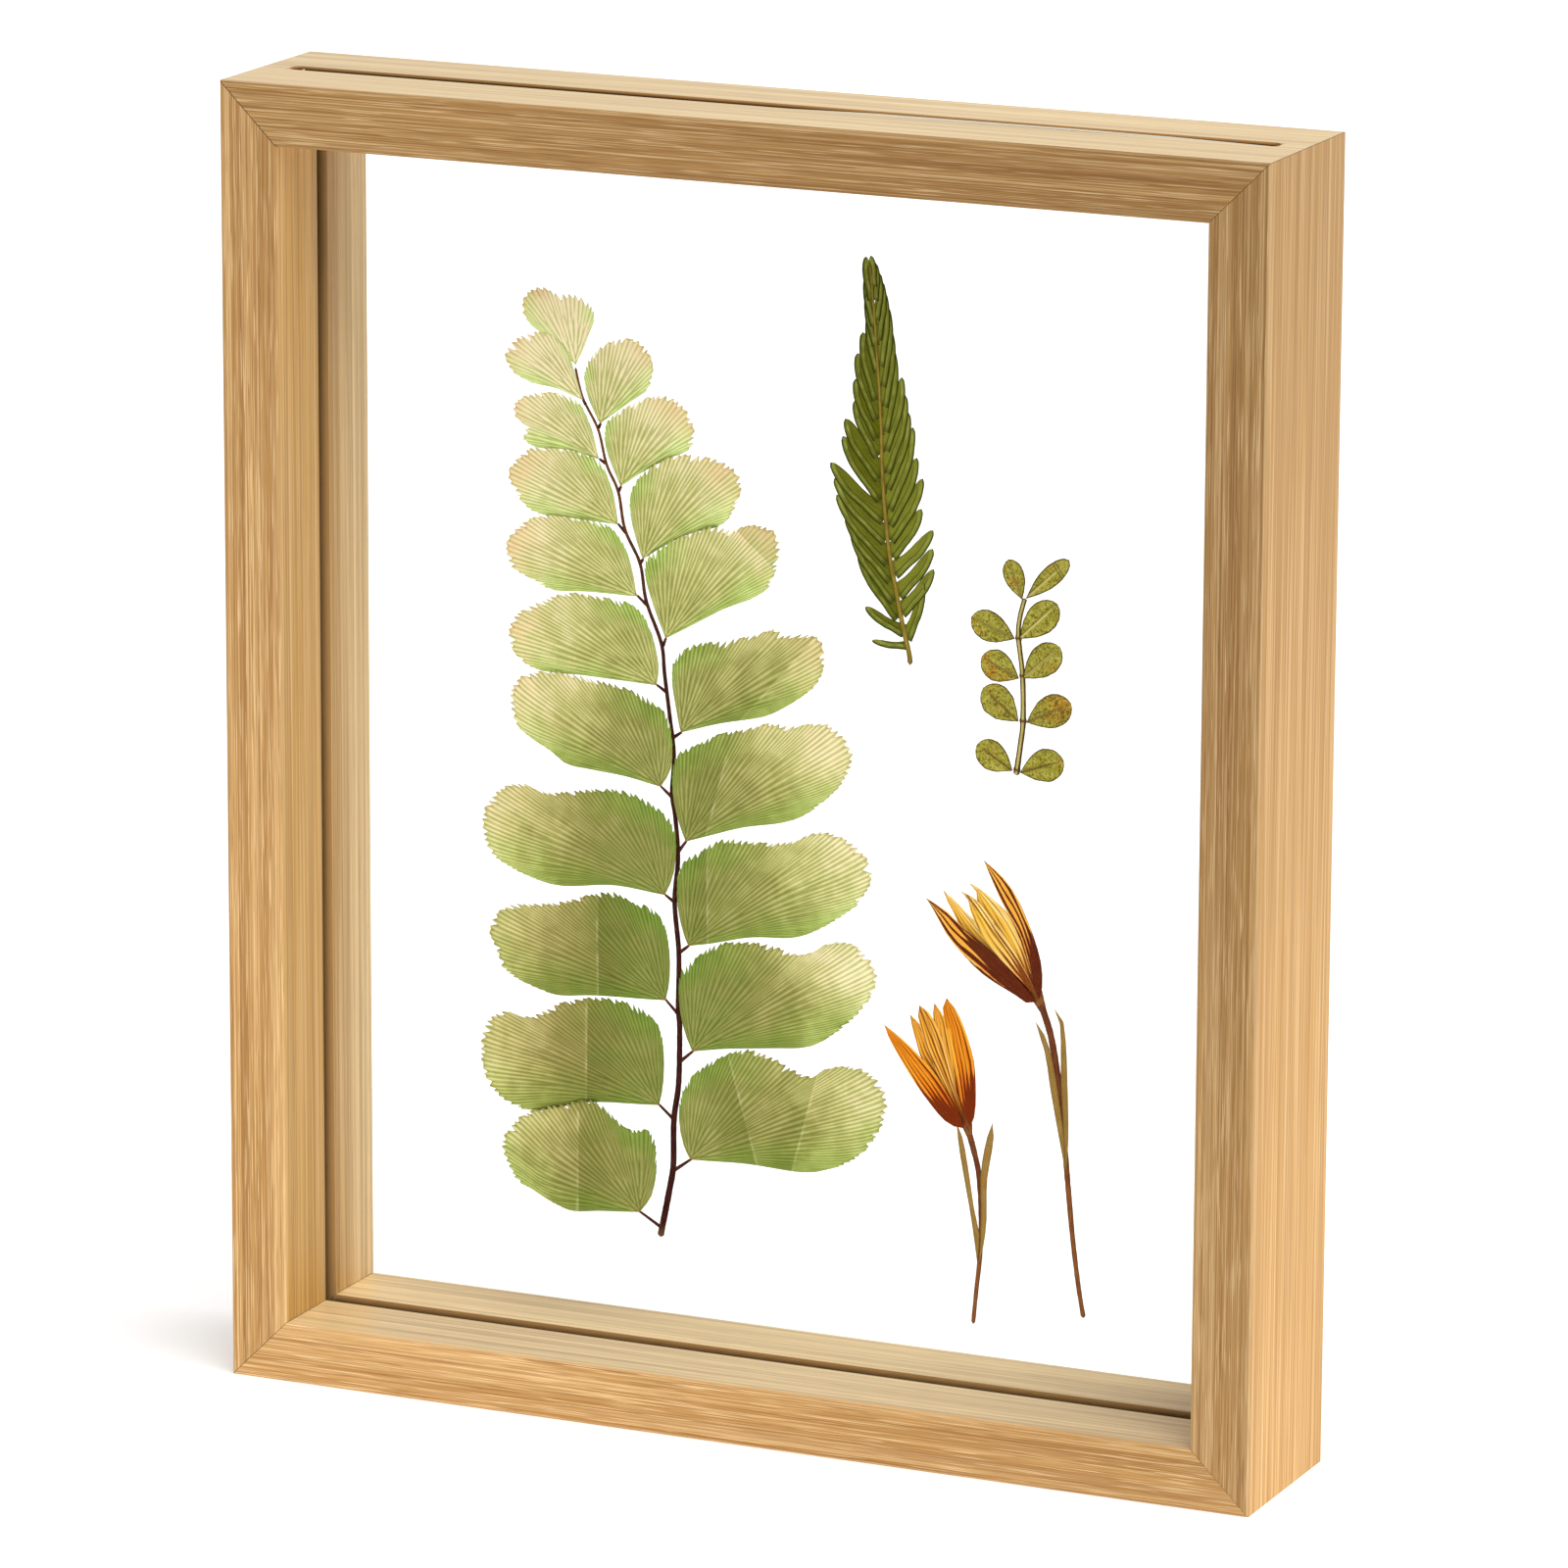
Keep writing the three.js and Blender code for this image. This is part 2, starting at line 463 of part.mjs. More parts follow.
const LARGE_FLOWER = {
  name: 'large_flower',
  stem: [
    [65.7, 28.4], [64.5, 35], [63.2, 44.5], [62.1, 55], [61.1, 65], [59.9, 75], [58.4, 83],
    [56.9, 87.6], [56, 89.6],
  ],
  stemWidths: [0.9, 1.3],
  bracts: {
    right: [
      [[62, 57.5], [62.3, 61], [62.4, 64.5], [62.1, 74], [61.5, 84], [60.6, 88.1]],
      [[59.2, 89.1], [60.1, 87.4], [60.5, 85], [60.7, 76], [61.3, 67]],
    ],
    left: [
      [[61.7, 57.5], [61.4, 64], [60.2, 71.5], [59.5, 75.5], [58.2, 81.2], [57.2, 83.5]],
      [[55.3, 86], [56.5, 82.3], [57.3, 80], [58.4, 73.5], [60.1, 65]],
    ],
  },
  petals: [
    [
      [[55.9, 90.4], [56.5, 93], [56.3, 97], [55.2, 101], [53.2, 105.8], [50.5, 110.8], [47.6, 114]],
      [[44.3, 116.3], [45.4, 113.8], [47.8, 109], [51, 103.5], [53.6, 97]],
    ],
    [
      [[55.2, 91.2], [53.9, 96], [52, 101.5], [49.6, 106], [46.5, 108.6], [43.5, 110.6]],
      [[41.3, 111.5], [42.6, 110.2], [42.7, 108.2], [43.8, 105], [48.5, 98.4]],
    ],
    [
      [[55.8, 90.6], [54.5, 93.5], [49.5, 101], [44.5, 107], [42.5, 108.8]],
      [[39.8, 109.8], [41, 108.7], [41.4, 107], [42.3, 104.5], [45.6, 99.9], [50, 95.5]],
    ],
    [
      [[54.6, 91.5], [49.5, 97.5], [43.5, 103], [40.5, 105.7], [38.4, 107.6]],
      [[35.8, 109.4], [36.3, 108], [37.3, 106.3], [39.6, 102.6], [46.4, 96.4]],
    ],
    [
      [[55.6, 90], [53, 92.6], [47, 98.2], [41, 102.3], [38.5, 104.4], [36.5, 105.9]],
      [[32.6, 107.8], [34.4, 105.2], [37, 101], [42, 96], [45, 93.8], [51, 90.9], [54.6, 89.2]],
    ],
  ],
  petalLayers: [2, 3, 1, 4, 0],
};

const SMALL_FLOWER = {
  name: 'small_flower',
  stem: [
    [42.8, 24.3], [43.4, 31], [44.1, 38], [44.3, 44], [44.1, 50], [43.6, 55], [42.6, 59],
    [41.6, 62.3],
  ],
  stemWidths: [0.8, 1.1],
  bracts: {
    right: [
      [[44.3, 37.5], [45.2, 41], [45.7, 46.5], [45.6, 50], [45.8, 54.5], [46.5, 58.5], [47, 62.4]],
      [[46.7, 65], [45.6, 62], [44.7, 57.5], [44.3, 53.5], [44.5, 49], [44.5, 44]],
    ],
    left: [
      [[43.7, 37], [44.1, 41], [44, 44.3], [43.3, 45.6], [42.7, 49], [41.3, 57.3], [40.4, 61.4]],
      [[39.2, 64], [39.6, 60], [40.5, 55], [42.1, 47], [43.1, 41]],
    ],
  },
  petals: [
    [
      [[42, 63.6], [42.9, 66], [43.1, 71], [42.7, 76.5], [41.8, 79.8], [39.8, 84.8], [38.4, 87]],
      [[36.9, 88.5], [36.1, 86.8], [36.5, 83.5], [38, 76], [40, 68]],
    ],
    [
      [[41.2, 64.3], [39.9, 70], [37.1, 81], [36.2, 84.6]],
      [[34.2, 87.1], [33.9, 85.5], [34.2, 82], [35, 77.5], [36.5, 72.5]],
    ],
    [
      [[41.3, 63.5], [38.9, 70.5], [36, 80], [34.7, 83], [33.3, 85.1]],
      [[31.2, 86.4], [30.8, 85], [31.2, 82.8], [32.4, 79.5], [36, 71.5]],
    ],
    [
      [[40.6, 64.4], [36.5, 73.5], [34.5, 77.5], [31, 82.6]],
      [[29.1, 84.2], [29.3, 82.7], [30.6, 78.2], [31.4, 76], [35.4, 70.4]],
    ],
    [
      [[40.9, 63.3], [40, 65.5], [35.5, 72.5], [30.9, 77], [27, 80]],
      [[24.1, 81.8], [24.6, 80.3], [26, 77.8], [30.5, 71.2], [33.5, 67.6], [36, 65], [38, 63.6]],
    ],
  ],
  petalLayers: [1, 3, 2, 4, 0],
};

function addFlower(flower) {
  flower.petals.forEach((petal, index) => {
    const geometry = pressed(outlineShape(petal, PETAL_STEPS), flower.petalLayers[index]);
    addMesh(`${flower.name}_petal_${index + 1}`, geometry, colours.petal);
  });
  Object.entries(flower.bracts).forEach(([side, bract], layer) => {
    const geometry = pressed(outlineShape(bract, BRACT_STEPS), layer);
    addMesh(`${flower.name}_bract_${side}`, geometry, colours.bract);
  });
  const stem = stemShape(curveThrough(flower.stem), FLOWER_STEM_STEPS, ...flower.stemWidths);
  addMesh(`${flower.name}_stem`, pressed(stem, ...STEM_LAYERS), colours.flowerStem);
}

addFrame();
addPanes();
addMaidenhair();
addFern();
addSprig();
addFlower(LARGE_FLOWER);
addFlower(SMALL_FLOWER);

export default frame;
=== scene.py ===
import math

import bmesh
import bpy
from mathutils import Matrix, Vector, noise


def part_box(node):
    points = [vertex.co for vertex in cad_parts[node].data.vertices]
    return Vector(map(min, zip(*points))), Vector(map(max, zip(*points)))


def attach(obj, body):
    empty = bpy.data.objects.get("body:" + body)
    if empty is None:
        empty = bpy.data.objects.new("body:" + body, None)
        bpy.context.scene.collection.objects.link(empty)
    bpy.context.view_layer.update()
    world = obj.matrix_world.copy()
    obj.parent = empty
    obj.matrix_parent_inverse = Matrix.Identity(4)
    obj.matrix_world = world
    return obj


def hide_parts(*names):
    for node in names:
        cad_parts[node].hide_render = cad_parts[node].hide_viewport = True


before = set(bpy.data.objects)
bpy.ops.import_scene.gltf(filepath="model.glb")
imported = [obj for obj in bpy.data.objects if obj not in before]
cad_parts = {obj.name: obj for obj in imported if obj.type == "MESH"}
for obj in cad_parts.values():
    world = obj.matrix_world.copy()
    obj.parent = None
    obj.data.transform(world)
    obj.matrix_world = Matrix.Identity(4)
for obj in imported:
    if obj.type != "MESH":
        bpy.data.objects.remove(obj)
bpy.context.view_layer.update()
mm = 0.001
print("frame loaded:", len(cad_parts), "nodes")


# Working helpers

def deselectAll():
    if bpy.context.object and bpy.context.object.mode != "OBJECT":
        bpy.ops.object.mode_set(mode="OBJECT")
    bpy.ops.object.select_all(action="DESELECT")


def pick(piece):
    deselectAll()
    piece.select_set(True)
    bpy.context.view_layer.objects.active = piece


def mix(a, b, share):
    return a + (b - a) * share


def ease(low, high, value):
    share = min(max((value - low) / (high - low), 0), 1)
    return share * share * (3 - 2 * share)


def ripple(x, y, seed, size=1.0):
    return noise.noise(Vector((x / size, y / size, seed * 7.31)))


# A path is its points and how far along it each one lies
def makePath(points):
    lengths = [0.0]
    for a, b in zip(points, points[1:]):
        lengths.append(lengths[-1] + math.dist(a, b))
    return points, lengths


def pathPoint(path, share):
    points, lengths = path
    want = min(max(share, 0), 1) * lengths[-1]
    low, high = 0, len(lengths) - 1
    while high - low > 1:
        middle = (low + high) // 2
        if lengths[middle] <= want:
            low = middle
        else:
            high = middle
    part = (want - lengths[low]) / max(lengths[high] - lengths[low], 1e-9)
    return tuple(mix(a, b, part) for a, b in zip(points[low], points[high]))


def smoothPath(knots, steps=8):
    padded = [knots[0], *knots, knots[-1]]
    points = []
    for a, b, c, d in zip(padded, padded[1:], padded[2:], padded[3:]):
        for step in range(steps):
            t = step / steps
            points.append(tuple(
                0.5 * (2 * q + (r - p) * t + (2 * p - 5 * q + 4 * r - s) * t * t
                       + (3 * q - p - 3 * r + s) * t ** 3)
                for p, q, r, s in zip(a, b, c, d)))
    points.append(tuple(knots[-1]))
    return makePath(points)


# The outline of a pressed plate, in millimetres, starting nearest to the given point
def outlineOf(node, start):
    work = bmesh.new()
    work.from_mesh(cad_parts[node].data)
    bmesh.ops.remove_doubles(work, verts=work.verts, dist=1e-6)
    face = [f for f in work.faces if f.normal.y < -0.9]
    inFront = set(face)
    after = {}
    for f in face:
        for loop in f.loops:
            others = [g for g in loop.edge.link_faces if g is not f]
            if not any(g in inFront for g in others):
                after[loop.vert] = loop.link_loop_next.vert
    at = min(after, key=lambda v: math.dist((v.co.x / mm, v.co.z / mm), start))
    points = []
    for _ in after:
        points.append((at.co.x / mm, at.co.z / mm))
        at = after[at]
    work.free()
    return points


def middleOf(node):
    low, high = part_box(node)
    return (low.y + high.y) / 2 / mm


# A flat grid bent to shape: place() gives each point's position and its marks from its two shares
def bentGrid(name, columns, rows, place, uvSize=(1, 1)):
    deselectAll()
    bpy.ops.mesh.primitive_grid_add(x_subdivisions=columns, y_subdivisions=rows, size=1,
                                    calc_uvs=True)
    piece = bpy.context.object
    piece.name = name
    piece.data.name = name
    marks = {}
    for vertex in piece.data.vertices:
        spot, values = place(vertex.co.x + 0.5, vertex.co.y + 0.5)
        vertex.co = (spot[0] * mm, spot[1] * mm, spot[2] * mm)
        for mark, value in values.items():
            marks.setdefault(mark, []).append(value)
    for mark, values in marks.items():
        piece.data.attributes.new(mark, "FLOAT", "POINT")
        piece.data.attributes[mark].data.foreach_set("value", values)
    for corner in piece.data.uv_layers[0].data:
        corner.uv = (corner.uv.x * uvSize[0], corner.uv.y * uvSize[1])
    return piece


meetWithin = 0.0008
sheetAngle = math.radians(50)
tubeAngle = math.radians(60)


def editAll():
    bpy.ops.object.mode_set(mode="EDIT")
    bpy.ops.mesh.select_all(action="SELECT")


# Points that meet are merged and the faces made to agree
def mendSurface(piece):
    pick(piece)
    editAll()
    bpy.ops.mesh.remove_doubles(threshold=meetWithin * mm)
    bpy.ops.mesh.normals_make_consistent(inside=False)
    bpy.ops.object.mode_set(mode="OBJECT")


def closeTube(piece):
    mendSurface(piece)
    bpy.ops.object.shade_smooth_by_angle(angle=tubeAngle)
    return piece


# The sheet is turned to face the front and given its thickness
def thicken(piece, thickness):
    mendSurface(piece)
    if sum(face.normal.y * face.area for face in piece.data.polygons) > 0:
        editAll()
        bpy.ops.mesh.flip_normals()
        bpy.ops.object.mode_set(mode="OBJECT")
    wall = piece.modifiers.new("wall", "SOLIDIFY")
    wall.thickness = thickness * mm
    wall.offset = 0
    bpy.ops.object.modifier_apply(modifier=wall.name)
    bpy.ops.object.shade_smooth_by_angle(angle=sheetAngle)
    return piece


def joinPieces(name, pieces):
    pick(pieces[0])
    for piece in pieces:
        piece.select_set(True)
    bpy.ops.object.join()
    joined = bpy.context.object
    joined.name = name
    joined.data.name = name
    return joined


def giveOut(piece, material, slot, *nodes):
    piece.data.materials.clear()
    piece.data.materials.append(material)
    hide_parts(*nodes)
    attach(piece, "root")


# Node helpers

# A socket's value, which adds, multiplies and compares as a number does
class Value:
    def __init__(self, socket):
        self.socket = socket

    def __abs__(self):
        return maths("ABSOLUTE", self)


def addOperator(method, operation, turned=False):
    def operator(value, other):
        return maths(operation, other, value) if turned else maths(operation, value, other)
    setattr(Value, f"__{method}__", operator)


operations = {"add": "ADD", "sub": "SUBTRACT", "mul": "MULTIPLY", "truediv": "DIVIDE",
              "pow": "POWER"}
for method, operation in operations.items():
    addOperator(method, operation)
    addOperator("r" + method, operation, turned=True)
addOperator("lt", "LESS_THAN")
addOperator("gt", "GREATER_THAN")


def treeOf(*values):
    return next(value.socket.id_data for value in values if isinstance(value, Value))


def outputsOf(node):
    return {socket.name: Value(socket) for socket in node.outputs}


def feed(socket, value):
    if isinstance(value, Value):
        socket.id_data.links.new(value.socket, socket)
    elif isinstance(value, tuple) and len(value) == 3 and socket.type == "RGBA":
        socket.default_value = (*value, 1)
    else:
        socket.default_value = value


def addNode(tree, kind, settings=None, **inputs):
    made = tree.nodes.new(kind)
    for key, value in (settings or {}).items():
        setattr(made, key, value)
    for key, value in inputs.items():
        feed(made.inputs[key.replace("_", " ")], value)
    return made


def maths(operation, *values):
    made = addNode(treeOf(*values), "ShaderNodeMath", {"operation": operation})
    for socket, value in zip(made.inputs, values):
        feed(socket, value)
    return Value(made.outputs[0])


def spread(value, low, high, start=0.0, end=1.0):
    made = addNode(treeOf(value), "ShaderNodeMapRange", {"interpolation_type": "SMOOTHSTEP"})
    for socket, item in zip(made.inputs, (value, low, high, start, end)):
        feed(socket, item)
    return Value(made.outputs[0])


def blend(share, a, b, kind="MIX"):
    made = addNode(treeOf(share, a, b), "ShaderNodeMix", {"data_type": "RGBA", "blend_type": kind})
    for index, value in ((0, share), (6, a), (7, b)):
        feed(made.inputs[index], value)
    return Value(made.outputs[2])


def cloud(vector, scale, detail=2.0, roughness=0.5):
    made = addNode(treeOf(vector), "ShaderNodeTexNoise", Vector=vector, Scale=scale, Detail=detail,
                   Roughness=roughness)
    return outputsOf(made)["Fac"]


def stretch(vector, x, y, z):
    made = addNode(treeOf(vector), "ShaderNodeVectorMath", {"operation": "MULTIPLY"})
    feed(made.inputs[0], vector)
    feed(made.inputs[1], Vector((x, y, z)))
    return Value(made.outputs[0])


def split(vector):
    return outputsOf(addNode(treeOf(vector), "ShaderNodeSeparateXYZ", Vector=vector))


def combine(*parts):
    made = addNode(treeOf(*parts), "ShaderNodeCombineXYZ")
    for socket, part in zip(made.inputs, parts):
        feed(socket, part)
    return Value(made.outputs[0])


def mark(tree, name):
    return outputsOf(addNode(tree, "ShaderNodeAttribute", {"attribute_name": name}))["Fac"]


def coordinatesOf(tree):
    return outputsOf(tree.nodes.new("ShaderNodeTexCoord"))


def newGroup(name, inputs, outputs):
    tree = bpy.data.node_groups.new(name, "ShaderNodeTree")
    for label, (kind, value) in inputs.items():
        socket = tree.interface.new_socket(label, in_out="INPUT", socket_type=kind)
        if value is not None:
            socket.default_value = (*value, 1) if kind == "NodeSocketColor" else value
    for label, kind in outputs.items():
        tree.interface.new_socket(label, in_out="OUTPUT", socket_type=kind)
    given = outputsOf(tree.nodes.new("NodeGroupInput"))
    return tree, given, tree.nodes.new("NodeGroupOutput").inputs


def placeGroup(group, **inputs):
    made = addNode(treeOf(*inputs.values()), "ShaderNodeGroup", {"node_tree": group}, **inputs)
    return outputsOf(made)


def newMaterial(name, **settings):
    material = bpy.data.materials.new(name)
    material.use_nodes = True
    shader = material.node_tree.nodes["Principled BSDF"]
    for key, value in settings.items():
        feed(shader.inputs[key.replace("_", " ")], value)
    return material, material.node_tree, shader


def bumpInto(shader, height, strength, distance):
    bump = addNode(shader.id_data, "ShaderNodeBump", Height=height, Strength=strength,
                   Distance=distance * mm)
    feed(shader.inputs["Normal"], outputsOf(bump)["Normal"])


number, colour, vector = "NodeSocketFloat", "NodeSocketColor", "NodeSocketVector"


# Shared effects

# How fine each layer of the veneer is along the grain, across it and into the wood, and its detail
# and roughness
grainLayers = {
    "band": (4, 110, 110, 2, 0.5), "broad": (6, 750, 750, 2, 0.5), "long": (7, 1900, 1900, 3, 0.62),
    "line": (12, 3600, 3600, 2, 0.5), "dash": (70, 4300, 4300, 1, 0.5),
    "pore": (90, 4300, 3100, 1, 0.5),
}


# Straight veneer grain that runs along the vector's X. Coarse is 1 on the open-grained front and
# back faces and 0 on the smooth sides.
def makeVeneerGrain():
    tree, given, out = newGroup("veneerGrain", {
        "Vector": (vector, None), "Coarse": (number, 1.0), "Edge": (number, 0.0),
        "Body": (colour, (0.5, 0.3, 0.15)), "Dark": (colour, (0.3, 0.15, 0.06)),
        "Bright": (colour, (0.7, 0.5, 0.3)), "Smooth Body": (colour, (0.6, 0.4, 0.2)),
    }, {"Colour": colour, "Roughness": number, "Height": number})
    band, broad, long, line, dash, pore = (
        cloud(stretch(given["Vector"], x, y, z), 1.0, detail, roughness)
        for x, y, z, detail, roughness in grainLayers.values())
    brightMask = spread(dash, 0.58, 0.7)
    poreMask = spread(pore, 0.42, 0.3)
    coarse = blend(spread(long, 0.36, 0.64, 0, 0.55), given["Body"], given["Dark"])
    coarse = blend(spread(line, 0.5, 0.68, 0, 0.5), coarse, given["Bright"])
    coarse = blend(spread(line, 0.46, 0.32, 0, 0.5), coarse, given["Dark"])
    coarse = blend(poreMask * 0.55, coarse, given["Dark"])
    coarse = blend(brightMask * 0.8, coarse, given["Bright"])
    smooth = blend(spread(long, 0.36, 0.66, 0, 0.36), given["Smooth Body"], given["Dark"])
    smooth = blend(spread(line, 0.48, 0.64, 0, 0.5), smooth, given["Bright"])
    smooth = blend(spread(line, 0.44, 0.3, 0, 0.22), smooth, given["Dark"])
    smooth = blend(poreMask * 0.2, smooth, given["Dark"])
    both = blend(given["Coarse"], smooth, coarse)
    both = blend(spread(band, 0.35, 0.65, 0.0, 0.12), both, given["Dark"])
    both = blend(spread(broad, 0.44, 0.64, 0.0, 0.24), both, given["Dark"])
    both = blend(spread(broad, 0.46, 0.34, 0.0, 0.18), both, given["Bright"])
    # a painted highlight along the eased edges
    both = blend(given["Edge"], both, given["Bright"])
    feed(out["Colour"], both)
    sheen = spread(line, 0.3, 0.7, 0.46, 0.36)
    feed(out["Roughness"], given["Coarse"] * 0.14 + sheen)
    relief = line + dash - poreMask * 0.5
    feed(out["Height"], relief * (given["Coarse"] * 0.75 + 0.25))
    return tree


# Forking veins that spread from a leaflet's base. The vector holds the place along the toothed
# margin in millimetres and the share of the way out from the base.
def makeFanVeins():
    tree, given, out = newGroup("fanVeins", {
        "Vector": (vector, None), "Pitch": (number, 1.05), "Wander": (number, 0.5),
    }, {"Vein": number, "Flesh": number, "Height": number})
    parts = split(given["Vector"])
    waver = cloud(stretch(given["Vector"], 0.3, 1.6, 1), 1.0, 1)
    waver = (waver - 0.5) * given["Wander"]
    around = (parts["X"] + waver) / given["Pitch"]
    forking = cloud(stretch(given["Vector"], 0.5, 0.4, 1), 1.0, 1)
    level = maths("LOGARITHM", maths("MAXIMUM", parts["Y"], 0.03), 2.0)
    level = level + (forking - 0.5) * 0.9
    whole = maths("FLOOR", level)
    share = spread(level - whole, 0.2, 0.6)
    turns = 2.0 ** whole * (around * (2 * math.pi))
    few = maths("COSINE", turns)
    many = maths("COSINE", turns * 2.0)
    both = addNode(tree, "ShaderNodeMix", {"data_type": "FLOAT"})
    feed(both.inputs[0], share)
    feed(both.inputs[2], few)
    feed(both.inputs[3], many)
    wave = Value(both.outputs[0]) * -0.5 + 0.5
    strength = spread(cloud(stretch(given["Vector"], 1.3, 5, 1), 1.0, 1), 0.3, 0.6, 0.45, 1.0)
    feed(out["Vein"], spread(wave, 0.42, 0.92) * strength)
    feed(out["Flesh"], spread(wave, 0.35, 0.05))
    feed(out["Height"], wave)
    return tree


# Dry plant tissue: soft blotches, fine speckle and a papery surface
def makeDryTissue():
    tree, given, out = newGroup("dryTissue", {
        "Vector": (vector, None), "Blotch Size": (number, 4.0), "Speckle Size": (number, 0.35),
    }, {"Blotch": number, "Speckle": number, "Height": number})
    inMm = stretch(given["Vector"], 1000, 1000, 1000)
    blotch = cloud(inMm, 1.0 / given["Blotch Size"], 3)
    speckle = cloud(inMm, 1.0 / given["Speckle Size"], 2, 0.6)
    feed(out["Blotch"], spread(blotch, 0.35, 0.68))
    feed(out["Speckle"], spread(speckle, 0.52, 0.72))
    feed(out["Height"], speckle)
    return tree


# Lines along a petal or a narrow leaf. The vector holds the share across and the share along.
def makeLengthLines():
    tree, given, out = newGroup("lengthLines", {
        "Vector": (vector, None), "Lines": (number, 7.0), "Seed": (number, 0.0),
        "Breaks": (number, 3.0),
    }, {"Line": number, "Fine": number, "Rim": number, "Along": number, "Height": number,
        "Pleat": number})
    parts = split(given["Vector"])
    place = combine(parts["X"] * given["Lines"], parts["Y"] * given["Breaks"], given["Seed"])
    lines = cloud(place, 1.0, 2, 0.55)
    fine = cloud(stretch(place, 3.2, 1.6, 1), 1.0, 2, 0.6)
    feed(out["Line"], spread(lines, 0.5, 0.62))
    feed(out["Fine"], spread(fine, 0.42, 0.68))
    sway = cloud(stretch(place, 0.3, 1.7, 1), 1.0, 1)
    turns = sway * 2.4 + parts["X"] * given["Lines"]
    pleat = maths("COSINE", turns * (2 * math.pi)) * 0.5 + 0.5
    feed(out["Pleat"], pleat * 0.5 + lines * 0.7)
    side = abs(parts["X"] * 2.0 - 1.0)
    feed(out["Rim"], spread(side, 0.72, 1.0))
    feed(out["Along"], parts["Y"])
    feed(out["Height"], fine * 0.4 + lines)
    return tree


veneerGrain = makeVeneerGrain()
fanVeins = makeFanVeins()
dryTissue = makeDryTissue()
lengthLines = makeLengthLines()
print("shared effects built")


# Camera, light and floor

view = {
    "place": (0.7066, -1.5677, 0.5459), "target": (0.00544, -0.00635, 0.12866),
    "roll": 0.241, "lens": 212.4, "sensor": 36.0,
    "skyStrength": 0.5, "sunStrength": 2.25, "sunFrom": (0.46, -0.16, 0.87), "sunAngle": 55.0,
    # low strips that lift the front and the right side near the floor: place, turn, size and power
    "strips": [((-0.06, -0.36, 0.04), 0.0, (0.4, 0.08), 0.16),
               ((0.42, -0.05, 0.05), 90.0, (0.25, 0.08), 0.24)],
    "floorSize": 30.0, "floorColour": (0.93, 0.93, 0.93), "floorGlow": 0.3,
}


def setCamera():
    eye, target = Vector(view["place"]), Vector(view["target"])
    ahead = (target - eye).normalized()
    right = ahead.cross(Vector((0, 0, 1))).normalized()
    up = right.cross(ahead)
    roll = math.radians(view["roll"])
    turnedRight = right * math.cos(roll) + up * math.sin(roll)
    turnedUp = up * math.cos(roll) - right * math.sin(roll)
    lens = bpy.data.cameras.new("camera")
    lens.lens = view["lens"]
    lens.sensor_width = view["sensor"]
    camera = bpy.data.objects.new("camera", lens)
    bpy.context.scene.collection.objects.link(camera)
    turn = Matrix((turnedRight, turnedUp, -ahead)).transposed().to_4x4()
    camera.matrix_world = Matrix.Translation(eye) @ turn
    bpy.context.scene.camera = camera


def setLight():
    scene = bpy.context.scene
    scene.view_settings.view_transform = "Standard"
    world = bpy.data.worlds.new("studio")
    world.use_nodes = True
    background = world.node_tree.nodes["Background"]
    background.inputs["Color"].default_value = (1, 1, 1, 1)
    background.inputs["Strength"].default_value = view["skyStrength"]
    scene.world = world
    lamp = bpy.data.lights.new("softbox", "SUN")
    lamp.energy = view["sunStrength"]
    lamp.angle = math.radians(view["sunAngle"])
    softbox = bpy.data.objects.new("softbox", lamp)
    softbox.rotation_euler = Vector(view["sunFrom"]).to_track_quat("Z", "Y").to_euler()
    scene.collection.objects.link(softbox)
    for place, turn, size, power in view["strips"]:
        strip = bpy.data.lights.new("lowStrip", "AREA")
        strip.shape = "RECTANGLE"
        strip.size, strip.size_y = size
        strip.energy = power
        lowStrip = bpy.data.objects.new("lowStrip", strip)
        lowStrip.location = place
        lowStrip.rotation_euler = (math.radians(90), 0, math.radians(turn))
        lowStrip.visible_camera = False
        lowStrip.visible_transmission = False
        lowStrip.visible_glossy = False
        scene.collection.objects.link(lowStrip)


def addFloor():
    deselectAll()
    bpy.ops.mesh.primitive_grid_add(x_subdivisions=2, y_subdivisions=2, size=view["floorSize"])
    floor = bpy.context.object
    floor.name = "floor"
    material, _, _ = newMaterial("paleFloor", Base_Color=view["floorColour"], Roughness=0.9,
                                 Emission_Color=view["floorColour"],
                                 Emission_Strength=view["floorGlow"])
    floor.data.materials.append(material)


setCamera()
setLight()
addFloor()
print("camera, light and floor set")


